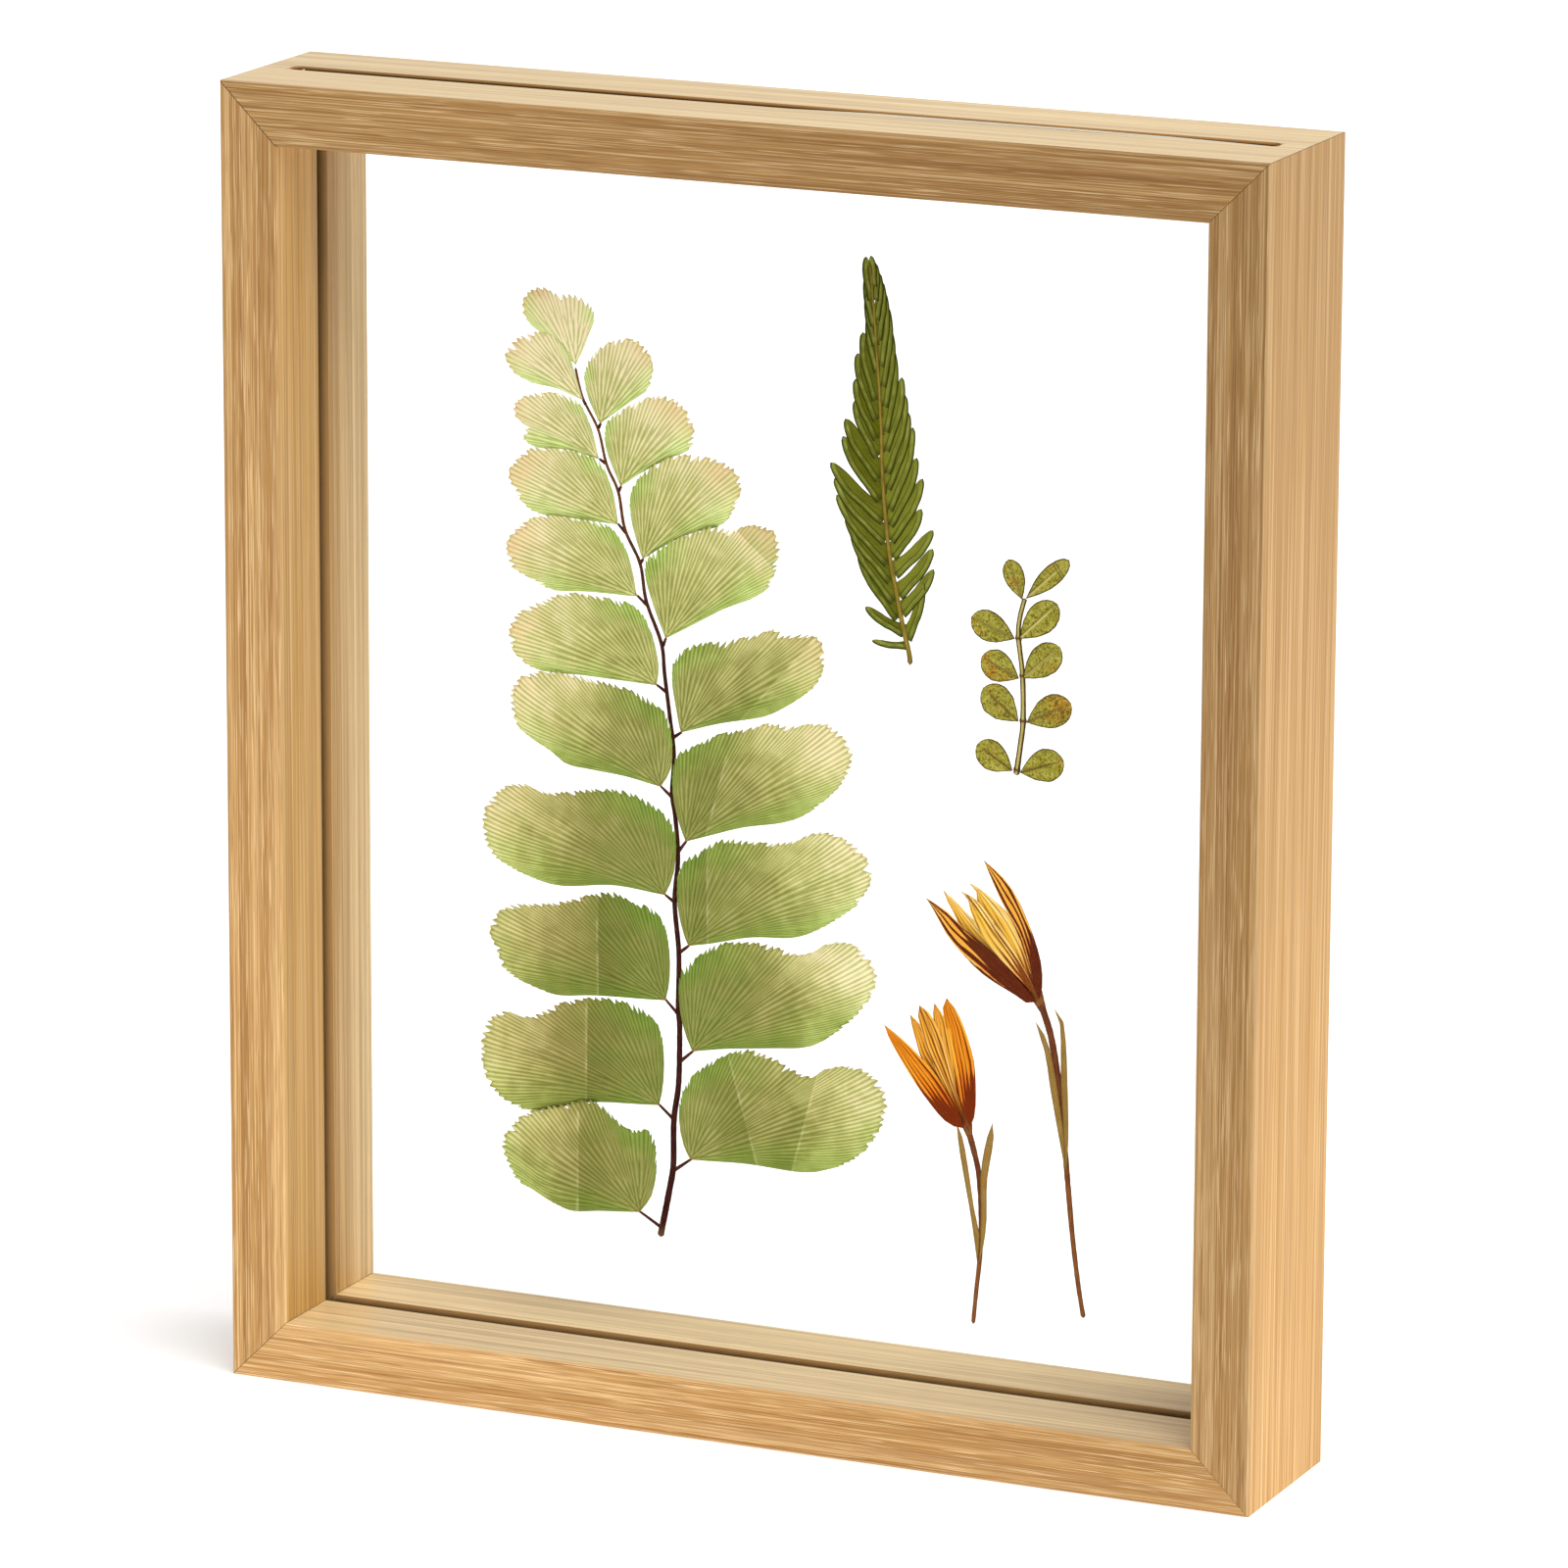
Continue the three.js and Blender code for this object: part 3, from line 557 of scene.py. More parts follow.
# Rails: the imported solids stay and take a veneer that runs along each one

railLook = {
    "body": (0.56, 0.315, 0.11), "dark": (0.27, 0.125, 0.036), "bright": (0.86, 0.6, 0.31),
    "smoothBody": (0.53, 0.29, 0.08), "innerBody": (0.7, 0.4, 0.1), "paintedTopSheen": (1.0, 0.77, 0.41),
    "rearShade": (0.5, 0.27, 0.065), "rearReflection": (0.93, 0.69, 0.36), "lip": (0.64, 0.34, 0.12),
    "groove": (0.07, 0.032, 0.01),
    # how each grain runs, where in the sheet it was cut, its painted light and shade (brighter
    # towards the floor) on its front and then on its sides at its left or lower end and at the
    # other, how strong the painted highlight on its front edges is, the face its groove opens at
    # and how soon its painted shade turns dark
    "rails": {
        "bottom_rail": ("along", 0.0, (1.22, 1.06), (1.07, 1.09), 0.2, ("Z", 12, 1.9)),
        "top_rail": ("along", 0.37, (0.81, 0.72), (1.0, 1.07), 0.05, ("Z", 258, 0.7)),
        "left_rail": ("upright", 0.71, (1.17, 0.93), (0.97, 1.0), 0.15, ("X", 95.5, 3.2)),
        "right_rail": ("upright", 1.13, (0.82, 0.66), (1.08, 0.83), 0.4, ("X", 95.5, 3.2)),
    },
    "joint": 0.21, "openJoint": 0.6, "closedJoint": 0.06,
    # in millimetres: the outside, the window's sides and top, the stretch behind the panes where
    # the inner sides go from painted shade to a painted reflection, half the groove's width, its
    # floor and how far it runs
    "halfWidth": 107.5, "height": 258, "windowHalf": 95.6, "windowTop": 246.1, "behindPanes": 2.2,
    "shadeToReflectionReach": (1, 16), "grooveHalf": 2.21, "grooveFloor": 3.3,
    "grooveEnds": {"X": 104, "Z": 102.1},
    "openJointFrom": 200, "lipReach": 0.1,
}


def makeRailMaterial(name, run, shift, frontPaintedLight, sidePaintedLight, edgeHighlight, opening):
    material, tree, shader = newMaterial(name, IOR=1.5, Specular_IOR_Level=0.12,
                                         Coat_Roughness=0.28)
    coordinates = coordinatesOf(tree)
    parts = split(coordinates["Object"])
    first, second = ("X", "Z") if run == "along" else ("Z", "X")
    grain = combine(parts[first] + shift, parts[second] + shift, parts["Y"])
    facing = split(coordinates["Normal"])
    toFront = abs(facing["Y"])
    coarse = spread(toFront, 0.58, 0.68)
    # the eased edges, where a highlight is painted
    edge = spread(toFront, 0.3, 0.5) * spread(toFront, 0.95, 0.8)
    upward = spread(facing["Z"], 0.45, 0.65)
    fromMiddle = abs(parts["X"])
    inSides = fromMiddle < railLook["windowHalf"] * mm
    inWindow = inSides * (parts["Z"] < railLook["windowTop"] * mm)
    smoothBody = blend(inWindow, railLook["smoothBody"], railLook["innerBody"])
    # behind the panes the inner sides are painted: darker near the glass as painted shade, paler
    # farther back as a painted reflection of the glass
    atRear = inWindow * (parts["Y"] > railLook["behindPanes"] * mm)
    near, far = railLook["shadeToReflectionReach"]
    toRear = spread(parts["Y"], near * mm, far * mm)
    rearPaintedLight = blend(toRear, railLook["rearShade"], railLook["rearReflection"])
    smoothBody = blend(atRear, smoothBody, rearPaintedLight)
    # upward faces are painted paler: a painted sheen of the light on the tops
    smoothBody = blend(upward, smoothBody, railLook["paintedTopSheen"])
    veneer = placeGroup(veneerGrain, Vector=grain, Coarse=coarse, Edge=edge * edgeHighlight,
                        Body=railLook["body"], Dark=railLook["dark"], Bright=railLook["bright"],
                        Smooth_Body=smoothBody)
    half, height = railLook["halfWidth"], railLook["height"]
    low, high = (-half, half) if run == "along" else (0, height)
    # painted light and shade along each rail, brighter towards the floor
    frontPaintedLightTone = spread(parts[first], low * mm, high * mm, *frontPaintedLight)
    sidePaintedLightTone = spread(parts[first], low * mm, high * mm, *sidePaintedLight)
    wood = blend(1.0, veneer["Colour"], blend(coarse, sidePaintedLightTone, frontPaintedLightTone), "MULTIPLY")
    # the mitres show as thin dark lines, most of all where the top left one is a little open
    inFromSide = half * mm - fromMiddle
    inFromEnd = maths("MINIMUM", parts["Z"], height * mm - parts["Z"])
    offJoint = abs(inFromSide - inFromEnd)
    openJoint = (parts["X"] < 0.0) * (parts["Z"] > railLook["openJointFrom"] * mm)
    jointShare = openJoint * railLook["openJoint"] + railLook["closedJoint"]
    wide = railLook["joint"] * mm
    joint = spread(offJoint, wide, wide * 0.3) * jointShare
    wood = blend(joint, wood, railLook["groove"])
    # the groove is painted shade, brown at its lips and close to black farther down
    axis, face, reach = opening
    across = abs(parts["Y"]) < railLook["grooveHalf"] * mm
    within = fromMiddle < railLook["grooveEnds"][axis] * mm
    above = parts["Z"] > railLook["grooveFloor"] * mm
    inGroove = across * within * above
    depth = abs((fromMiddle if axis == "X" else parts["Z"]) - face * mm)
    toGrooveShade = spread(depth, railLook["lipReach"] * mm, reach * mm)
    inside = blend(toGrooveShade, railLook["lip"], railLook["groove"])
    wood = blend(inGroove, wood, inside)
    feed(shader.inputs["Base Color"], wood)
    feed(shader.inputs["Roughness"], inGroove * 0.3 + veneer["Roughness"])
    feed(shader.inputs["Coat Weight"], upward * 0.58)
    bumpInto(shader, veneer["Height"], 0.4, 0.08)
    return material


def dressRails():
    for node, look in railLook["rails"].items():
        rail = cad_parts[node]
        rail.data.materials.clear()
        rail.data.materials.append(makeRailMaterial(node + "Veneer", *look))


dressRails()
print("rails dressed")


# Panes: clear glass with ground edges. The top edge isn't quite true, and dips to the left.

paneLook = {
    "tint": (0.985, 0.99, 0.985), "edgeTint": (0.74, 0.66, 0.5), "edgeCool": (0.6, 0.6, 0.54),
    "edgeChip": (0.9, 0.9, 0.88), "edgeInGrooveShade": (0.06, 0.04, 0.022), "hiddenBelow": 246,
    "arris": 0.12,
    "topDips": [(-100, 1.35), (-60, 1.25), (-25, 0.95), (0, 0.5), (20, 0.1), (60, 0.02), (80, 0.1),
                (100, 0.4)],
    "topBand": 1,
}


def makeGlass():
    material, tree, shader = newMaterial("clearGlass", Base_Color=paneLook["tint"], Roughness=0.0,
                                         IOR=1.02, Transmission_Weight=1.0)
    out = tree.nodes["Material Output"]
    rays = tree.nodes.new("ShaderNodeLightPath")
    clear = tree.nodes.new("ShaderNodeBsdfTransparent")
    choice = tree.nodes.new("ShaderNodeMixShader")
    tree.links.new(rays.outputs["Is Shadow Ray"], choice.inputs[0])
    tree.links.new(shader.outputs[0], choice.inputs[1])
    tree.links.new(clear.outputs[0], choice.inputs[2])
    tree.links.new(choice.outputs[0], out.inputs["Surface"])
    return material


# The edges down in the grooves are painted dark, as the shade of the groove around them
def makeGroundEdge():
    material, tree, shader = newMaterial("groundGlassEdge", Roughness=0.5)
    place = coordinatesOf(tree)["Object"]
    parts = split(place)
    tissue = placeGroup(dryTissue, Vector=place, Blotch_Size=6.0, Speckle_Size=0.3)
    pale = blend(tissue["Blotch"] * 0.25, paneLook["edgeTint"], paneLook["edgeCool"])
    pale = blend(tissue["Speckle"] * 0.3, pale, paneLook["edgeChip"])
    inGrooveShade = parts["Z"] < paneLook["hiddenBelow"] * mm
    feed(shader.inputs["Base Color"], blend(inGrooveShade, pale, paneLook["edgeInGrooveShade"]))
    bumpInto(shader, tissue["Height"], 0.5, 0.05)
    return material


def addPane(name, node, glass, groundEdge):
    low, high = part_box(node)
    deselectAll()
    bpy.ops.mesh.primitive_cube_add(size=1, location=(low + high) / 2, scale=high - low)
    bpy.ops.object.transform_apply(location=True, rotation=True, scale=True)
    pane = bpy.context.object
    pane.name = name
    bpy.ops.object.mode_set(mode="EDIT")
    bpy.ops.mesh.select_all(action="SELECT")
    bpy.ops.mesh.bevel(offset=paneLook["arris"] * mm, segments=1)
    for x, _ in paneLook["topDips"][1:-1]:
        bpy.ops.mesh.select_all(action="SELECT")
        bpy.ops.mesh.bisect(plane_co=(x * mm, 0, 0), plane_no=(1, 0, 0))
    bpy.ops.object.mode_set(mode="OBJECT")
    dips = paneLook["topDips"]
    for vertex in pane.data.vertices:
        if vertex.co.z > high.z - paneLook["topBand"] * mm:
            x = vertex.co.x / mm
            for (a, dipA), (b, dipB) in zip(dips, dips[1:]):
                if a <= x <= b + 1e-4:
                    vertex.co.z -= mix(dipA, dipB, (x - a) / (b - a)) * mm
                    break
    pane.data.materials.append(glass)
    pane.data.materials.append(groundEdge)
    for face in pane.data.polygons:
        face.material_index = 0 if abs(face.normal.y) > 0.9 else 1
    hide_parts(node)
    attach(pane, "root")


def addPanes():
    glass, groundEdge = makeGlass(), makeGroundEdge()
    addPane("glass_front", "front_pane", glass, groundEdge)
    addPane("glass_back", "back_pane", glass, groundEdge)


addPanes()
print("panes cut")


# Maidenhair leaflets. Each has its base, how pale it is near the base and at the tip, how tan, how
# blushed its outer rim is, how dark the painted shadow of the leaflet below it is, and its folds,
# if
# any: two points, with painted shade on the side to the right of their line and a faint painted
# highlight to the left.

leafletLook = {
    "thickness": 0.08, "columnWidth": 0.2, "rows": 20, "teeth": (0.08, 0.76), "toothPitch": 1.35,
    "toothDepth": 1.8, "veinPitch": 1.05, "tilt": 0.2, "foremost": -0.47, "stalkDepth": 0.02,
    "tones": [(0.0, (0.2, 0.235, 0.045)), (0.35, (0.32, 0.31, 0.085)), (0.65, (0.55, 0.54, 0.19)),
              (1.0, (0.95, 0.84, 0.5))],
    "blush": (0.8, 0.46, 0.2), "rust": (0.3, 0.13, 0.03), "tan": (1.05, 0.89, 1.0),
    "fresh": (0.78, 1.05, 0.68), "vein": (0.56, 0.62, 0.4), "rim": (0.62, 0.55, 0.4),
    "fold": (0.76, 0.8, 0.66), "cast": (0.36, 0.38, 0.2), "backedShade": (0.82, 0.88, 0.7),
}

leaflets = {
    "left_1": {"base": (-27.8, 38.0), "tone": (0.2, 0.65), "tan": 0.6, "blush": 0.0, "cast": 0.0,
               "folds": [((-41, 30), (-40.6, 60))]},
    "left_2": {"base": (-23.7, 60.1), "tone": (0.05, 0.72), "tan": 0.9, "blush": 0.15, "cast": 0.7,
               "folds": [((-39.3, 50), (-38.8, 80))]},
    "left_3": {"base": (-22.3, 81.3), "tone": (0.0, 0.66), "tan": 0.75, "blush": 0.1, "cast": 0.5,
               "folds": [((-36.5, 80), (-36.5, 102))]},
    "left_4": {"base": (-22.5, 102.3), "tone": (0.13, 0.81), "tan": 0.5, "blush": 0.25,
               "cast": 0.4},
    "left_5": {"base": (-23.4, 123.7), "tone": (0.27, 0.9), "tan": 0.35, "blush": 0.3, "cast": 0.4},
    "left_6": {"base": (-24.3, 143.7), "tone": (0.48, 0.85), "tan": 0.15, "blush": 0.5,
               "cast": 0.2},
    "left_7": {"base": (-28.4, 160.8), "tone": (0.57, 0.92), "tan": 0.2, "blush": 0.65,
               "cast": 0.15},
    "left_8": {"base": (-32.5, 174.5), "tone": (0.64, 0.93), "tan": 0.2, "blush": 0.65,
               "cast": 0.25},
    "left_9": {"base": (-36.5, 186.9), "tone": (0.7, 1.0), "tan": 0.15, "blush": 0.6, "cast": 0.25},
    "left_10": {"base": (-40.0, 198.2), "tone": (0.86, 1.03), "tan": 0.2, "blush": 0.6,
                "cast": 0.25},
    "right_1": {"base": (-17.0, 49.9), "tone": (0.24, 0.74), "tan": 0.35, "blush": 0.0, "cast": 0.0,
                "folds": [((-6.8, 64.5), (-3, 51)), ((9.9, 70), (5, 52))]},
    "right_2": {"base": (-16.6, 71.7), "tone": (0.08, 0.95), "tan": 0.3, "blush": 0.0,
                "cast": 0.15},
    "right_3": {"base": (-17.5, 92.7), "tone": (0.2, 0.91), "tan": 0.1, "blush": 0.1, "cast": 0.15,
                "folds": [((-13.5, 110), (-13.5, 93))]},
    "right_4": {"base": (-18.1, 113.4), "tone": (0.25, 0.92), "tan": 0.25, "blush": 0.2,
                "cast": 0.15,
                "folds": [((-9.7, 130.5), (-14, 115))]},
    "right_5": {"base": (-19.1, 134.9), "tone": (0.36, 0.76), "tan": 0.3, "blush": 0.5, "cast": 0.0,
                "folds": [((3.5, 150), (-5, 140.5))]},
    "right_6": {"base": (-22.4, 153.1), "tone": (0.48, 0.92), "tan": 0.15, "blush": 0.7,
                "cast": 0.0,
                "folds": [((-3, 172), (-7.2, 175.6))]},
    "right_7": {"base": (-27.2, 168.2), "tone": (0.56, 0.92), "tan": 0.15, "blush": 0.75,
                "cast": 0.9},
    "right_8": {"base": (-31.9, 182.0), "tone": (0.64, 0.96), "tan": 0.15, "blush": 0.7,
                "cast": 0.8},
    "right_9": {"base": (-36.2, 193.9), "tone": (0.7, 0.98), "tan": 0.2, "blush": 0.5, "cast": 0.3},
    "tip": {"base": (-41.4, 204.9), "tone": (0.95, 1.1), "tan": 0.3, "blush": 0.9, "cast": 0.0},
}

leafletOutlines = {name: outlineOf("maidenhair_" + name, look["base"])
                   for name, look in leaflets.items()}


# How far a point lies to the right of a line, in millimetres
def rightOf(line, x, z):
    (x1, z1), (x2, z2) = line
    return ((x - x1) * (z2 - z1) - (z - z1) * (x2 - x1)) / math.dist(*line)


# How far a point lies outside an outline in millimetres, counted below zero inside it
def outsideOf(outline, x, z, furthest=1.5):
    if not outline:
        return furthest
    if max(min(p[0] for p in outline) - x, x - max(p[0] for p in outline),
           min(p[1] for p in outline) - z, z - max(p[1] for p in outline)) > furthest:
        return furthest
    inside, nearest = False, furthest * furthest
    for (x1, z1), (x2, z2) in zip(outline, outline[1:] + outline[:1]):
        run, rise = x2 - x1, z2 - z1
        share = ((x - x1) * run + (z - z1) * rise) / max(run * run + rise * rise, 1e-9)
        share = min(max(share, 0), 1)
        nearest = min(nearest, (x - x1 - share * run) ** 2 + (z - z1 - share * rise) ** 2)
        if (z1 > z) != (z2 > z) and x < x1 + run * (z - z1) / rise:
            inside = not inside
    return -math.sqrt(nearest) if inside else math.sqrt(nearest)


# The leaflets overlap upwards like shingles, each one in front of the next one up
def leafletInFront(name):
    side, _, number = name.partition("_")
    return leafletOutlines.get(f"{side}_{int(number) - 1}") if number else None


def leafletBehind(name):
    side, _, number = name.partition("_")
    return leafletOutlines.get(f"{side}_{int(number) + 1}" if number else "left_10")


def addLeaflet(name, material):
    look = leaflets[name]
    node = "maidenhair_" + name
    points = leafletOutlines[name]
    tenth = len(points) // 10
    if points[tenth][1] < points[-tenth][1]:
        points = [points[0], *reversed(points[1:])]
    around = makePath([*points, points[0]])
    base = points[0]
    start, end = leafletLook["teeth"]
    marginLength = around[1][-1] * (end - start)
    lower, upper = pathPoint(around, end), pathPoint(around, start)
    columns = int(marginLength / leafletLook["columnWidth"])
    middle = middleOf(node)
    reach = max(math.dist(base, p) for p in points)
    far = max(points, key=lambda p: math.dist(base, p))
    out = ((far[0] - base[0]) / reach, (far[1] - base[1]) / reach)
    bottom, top = min(p[1] for p in points), max(p[1] for p in points)
    seed = len(name) * 3.7 + base[1]
    folds = [*look.get("folds", ()), None, None][:2]
    inFront, behind = leafletInFront(name), leafletBehind(name)
    innerTone, outerTone = look["tone"]

    def place(across, along):
        mx, mz = pathPoint(around, mix(start, end, across))
        tooth = (across * marginLength) / leafletLook["toothPitch"]
        tooth += 0.6 * ripple(tooth, 0.0, seed, 1.7)
        part = tooth % 1
        notch = max(1 - part / 0.68, (part - 0.68) / 0.32)
        depth = leafletLook["toothDepth"] * max(0.55 + 1.0 * ripple(tooth, 3.0, seed, 1.6), 0.12)
        fadeIn = ease(0, 0.05, across) * ease(0, 0.05, 1 - across)
        cut = (notch * depth - 0.25) * fadeIn / math.dist((mx, mz), base)
        mx, mz = mix(mx, base[0], cut), mix(mz, base[1], cut)
        x, z = mix(base[0], mx, along), mix(base[1], mz, along)
        for side, tip, share in ((along * start, upper, (1 - across) ** 1.6),
                                 (1 - along * (1 - end), lower, across ** 1.6)):
            sx, sz = pathPoint(around, side)
            x += share * (sx - mix(base[0], tip[0], along))
            z += share * (sz - mix(base[1], tip[1], along))
        tilt = leafletLook["tilt"] * (1 - 2 * ease(0, 1, (z - bottom) / (top - bottom)))
        wave = 0.03 * ripple(across * 6, along * 2.5, seed) + 0.015 * ripple(x, z, seed, 2.5)
        y = max(middle + tilt, leafletLook["foremost"] + 0.02 * ripple(x, z, seed + 9, 8)) + wave
        y = mix(leafletLook["stalkDepth"], y, ease(0, 0.16, along))
        for fold in folds:
            if fold:
                y += 0.02 * ease(-0.6, 0.6, rightOf(fold, x, z))
        outward = ((x - base[0]) * out[0] + (z - base[1]) * out[1]) / reach
        tone = mix(innerTone, outerTone, ease(0.22, 1.1, outward + 0.14 * ripple(x, z, seed, 7)))
        tan = look["tan"] * ease(0.1, 0.45, outward + 0.2 * ripple(x, z, seed + 2, 6))
        tan *= ease(1.05, 0.7, outward)
        blush = look["blush"] * ease(0.68, 1.0, outward + 0.12 * ripple(x, z, seed + 4, 4))
        blush *= ease(0.45, 0.95, along)
        fresh = ease(0.62, 0.95, along + 0.1 * ripple(x, z, seed + 6, 3)) * ease(0.62, 0.3, outward)
        fresh = max(fresh, ease(0.34, 0.08, 1 - across + 0.08 * ripple(x, z, seed + 8, 4)) * 0.85)
        marks = {"tone": tone, "tan": tan, "blush": blush, "fresh": fresh, "cast": look["cast"],
                 "outsideFront": outsideOf(inFront, x, z), "outsideBehind": outsideOf(behind, x, z)}
        for label, fold in zip(("foldOne", "foldTwo"), folds):
            marks[label] = rightOf(fold, x, z) if fold else -60.0
        return (x, y, z), marks

    piece = bentGrid("leaflet_" + name, columns, leafletLook["rows"], place, (marginLength, 1))
    thicken(piece, leafletLook["thickness"])
    giveOut(piece, material, "maidenhair_leaf", node)


def makeLeafletMaterial():
    material, tree, shader = newMaterial("maidenhairLeaf", Roughness=0.6, Specular_IOR_Level=0.12)
    place = coordinatesOf(tree)
    look = leafletLook
    veins = placeGroup(fanVeins, Vector=place["UV"], Pitch=look["veinPitch"])
    tissue = placeGroup(dryTissue, Vector=place["Object"], Blotch_Size=3.5, Speckle_Size=0.4)
    share = split(place["UV"])["Y"]
    tone = mark(tree, "tone") + (tissue["Blotch"] * 0.12 + -0.06)
    tone = veins["Flesh"] * 0.16 + tone
    ramp = tree.nodes.new("ShaderNodeValToRGB")
    stops = ramp.color_ramp.elements
    while len(stops) < len(look["tones"]):
        stops.new(0.5)
    for stop, (at, tint) in zip(stops, look["tones"]):
        stop.position, stop.color = at, (*tint, 1)
    feed(ramp.inputs[0], tone)
    flesh = blend(mark(tree, "tan"), Value(ramp.outputs[0]), look["tan"], "MULTIPLY")
    flesh = blend(mark(tree, "fresh"), flesh, look["fresh"], "MULTIPLY")
    blush = mark(tree, "blush") * (tissue["Blotch"] * 0.5 + 0.4)
    flesh = blend(blush, flesh, look["blush"])
    veinShare = veins["Vein"] * spread(share, 0.0, 1.0, 1.0, 0.75)
    flesh = blend(veinShare, flesh, look["vein"], "MULTIPLY")
    # each fold is painted: shade on its right side, fading away, and a faint highlight on its left
    for label in ("foldOne", "foldTwo"):
        side = mark(tree, label)
        dark = spread(side, -0.1, 0.1) * spread(side, 10.0, 0.0, 0.0, 0.9)
        flesh = blend(dark, flesh, look["fold"], "MULTIPLY")
        paintedHighlight = spread(side, -0.7, -0.1) * spread(side, 0.1, -0.1, 0.0, 0.22)
        flesh = blend(paintedHighlight * tissue["Blotch"], flesh, look["tones"][3][1])
    front, back = mark(tree, "outsideFront"), mark(tree, "outsideBehind")
    # painted shadow cast by the leaflet in front, just outside its outline
    cast = spread(front, 0.6, 0.0) * mark(tree, "cast")
    flesh = blend(cast, flesh, look["cast"], "MULTIPLY")
    # painted shade where another leaflet lies behind this one
    flesh = blend(spread(back, 0.1, -0.1, 0.0, 0.8), flesh, look["backedShade"], "MULTIPLY")
    spots = tissue["Speckle"] * 0.1
    flesh = blend(spots, flesh, look["rust"])
    rim = spread(share, 0.972, 1.0) * (tissue["Blotch"] * 0.5 + 0.35)
    flesh = blend(rim, flesh, look["rim"], "MULTIPLY")
    flesh = blend(spread(share, 0.045, 0.0, 0.0, 0.8), flesh, look["rust"])
    feed(shader.inputs["Base Color"], flesh)
    height = tissue["Height"] * 0.15 + veins["Height"]
    bumpInto(shader, height, 0.25, 0.04)
    return material


def addLeaflets():
    material = makeLeafletMaterial()
    for name in leaflets:
        addLeaflet(name, material)


addLeaflets()
print("maidenhair leaflets pressed:", len(leaflets))


# Stems: a grid rolled into a flattened tube, closed at both ends

def addTube(name, knots, widths, middle, flat, columns=10, stepLength=0.6, roughness=0.04,
            lumps=()):
    path = smoothPath(knots)
    length = path[1][-1]
    rows = max(int(length / stepLength), 6)
    end = min(0.4, length * 0.2) / length

    def place(across, along):
        x, z = pathPoint(path, along)
        x1, z1 = pathPoint(path, along - 0.004)
        x2, z2 = pathPoint(path, along + 0.004)
        span = max(math.dist((x1, z1), (x2, z2)), 1e-9)
        sideX, sideZ = (z2 - z1) / span, -(x2 - x1) / span
        radius = mix(widths[0], widths[1], along) / 2
        radius *= 1 + roughness * ripple(along * length, 0, length, 1.1)
        knot = 0.0
        for at, size, reach in lumps:
            near = math.exp(-((along * length - at) / reach) ** 2)
            radius *= 1 + size * near
            knot += near
        close = min(along / end, (1 - along) / end, 1)
        radius *= math.sqrt(max(1 - (1 - close) ** 2, 0))
        turn = 2 * math.pi * across
        offset = radius * math.cos(turn)
        marks = {"side": math.cos(turn), "up": along, "knot": knot}
        return (x + sideX * offset, middle + flat * radius * math.sin(turn),
                z + sideZ * offset), marks

    return closeTube(bentGrid(name, columns, rows, place, (1, length)))


def heightOnPath(path, z):
    low = next((i for i, p in enumerate(path[0]) if p[1] >= z), 0)
    return path[1][low] / path[1][-1]


# A stem's skin, with its foot, its upper end, its two edges and its knots in their own tones
def makeStemMaterial(name, look):
    material, tree, shader = newMaterial(name, Specular_IOR_Level=0.07)
    place = coordinatesOf(tree)
    lines = placeGroup(lengthLines, Vector=place["UV"], Lines=9.0, Breaks=0.35)
    tissue = placeGroup(dryTissue, Vector=place["Object"], Blotch_Size=4.0, Speckle_Size=0.4)
    up = mark(tree, "up")
    low, high = look.get("topReach", (0.6, 1.0))
    skin = blend(spread(up, low, high), look["body"], look.get("top", look["body"]))
    low, high = look.get("footReach", (0.0, 0.04))
    skin = blend(spread(up, high, low), skin, look.get("foot", look["body"]))
    skin = blend(tissue["Blotch"] * 0.3, skin, look["pale"])
    skin = blend(lines["Line"] * 0.4, skin, look["dark"])
    side = mark(tree, "side")
    middle = spread(abs(side), 0.55, 0.15, 0.0, look.get("stripe", 0.0))
    skin = blend(middle, skin, look["pale"])
    left, right = look.get("edges", (0.2, 0.2))
    start = look.get("edgeStart", 0.45)
    skin = blend(spread(side, -start, -start - 0.4, 0.0, left), skin, look["dark"])
    skin = blend(spread(side, start, start + 0.4, 0.0, right), skin, look["dark"])
    skin = blend(tissue["Speckle"] * 0.3, skin, look["dark"])
    knots = spread(mark(tree, "knot"), 0.35, 0.9, 0.0, 0.85)
    skin = blend(knots, skin, look.get("knot", look["dark"]))
    feed(shader.inputs["Base Color"], skin)
    gloss = look["gloss"]
    feed(shader.inputs["Roughness"], spread(tissue["Height"], 0.3, 0.7, gloss, gloss + 0.2))
    bumpInto(shader, lines["Height"], 0.6, 0.05)
    return material


maidenhairStem = {
    "knots": [(-23.5, 33.4), (-21.5, 43.4), (-20.7, 48.5), (-20.6, 57.5), (-19.6, 65), (-19.4, 76),
              (-19.7, 80), (-19.6, 91), (-20.5, 101), (-19.8, 110), (-20.4, 118), (-21.1, 122.5),
              (-20.7, 130.5), (-21.7, 138.6), (-22.7, 146), (-23.4, 152), (-26.6, 160),
              (-27.9, 167.2),
              (-31.1, 173.6), (-32.5, 180.8), (-35, 186), (-36.8, 192.7), (-40, 198.5),
              (-41.6, 204.4)],
    "widths": (1.38, 0.52), "stalkWidths": (0.78, 0.5), "drops": (3.0, 1.2), "flat": 0.5,
    "body": (0.04, 0.007, 0.004), "dark": (0.012, 0.002, 0.002), "pale": (0.085, 0.014, 0.008),
    "top": (0.22, 0.07, 0.02), "topReach": (0.62, 1.0), "foot": (0.16, 0.07, 0.03),
    "footReach": (0.0, 0.02), "edges": (0.5, 0.3), "gloss": 0.35,
}
maidenhairStalk = {
    "body": (0.055, 0.012, 0.007), "dark": (0.02, 0.005, 0.004), "pale": (0.13, 0.035, 0.014),
    "gloss": 0.4,
    "top": (0.11, 0.03, 0.01), "topReach": (0.5, 1.0), "edges": (0.3, 0.3),
}


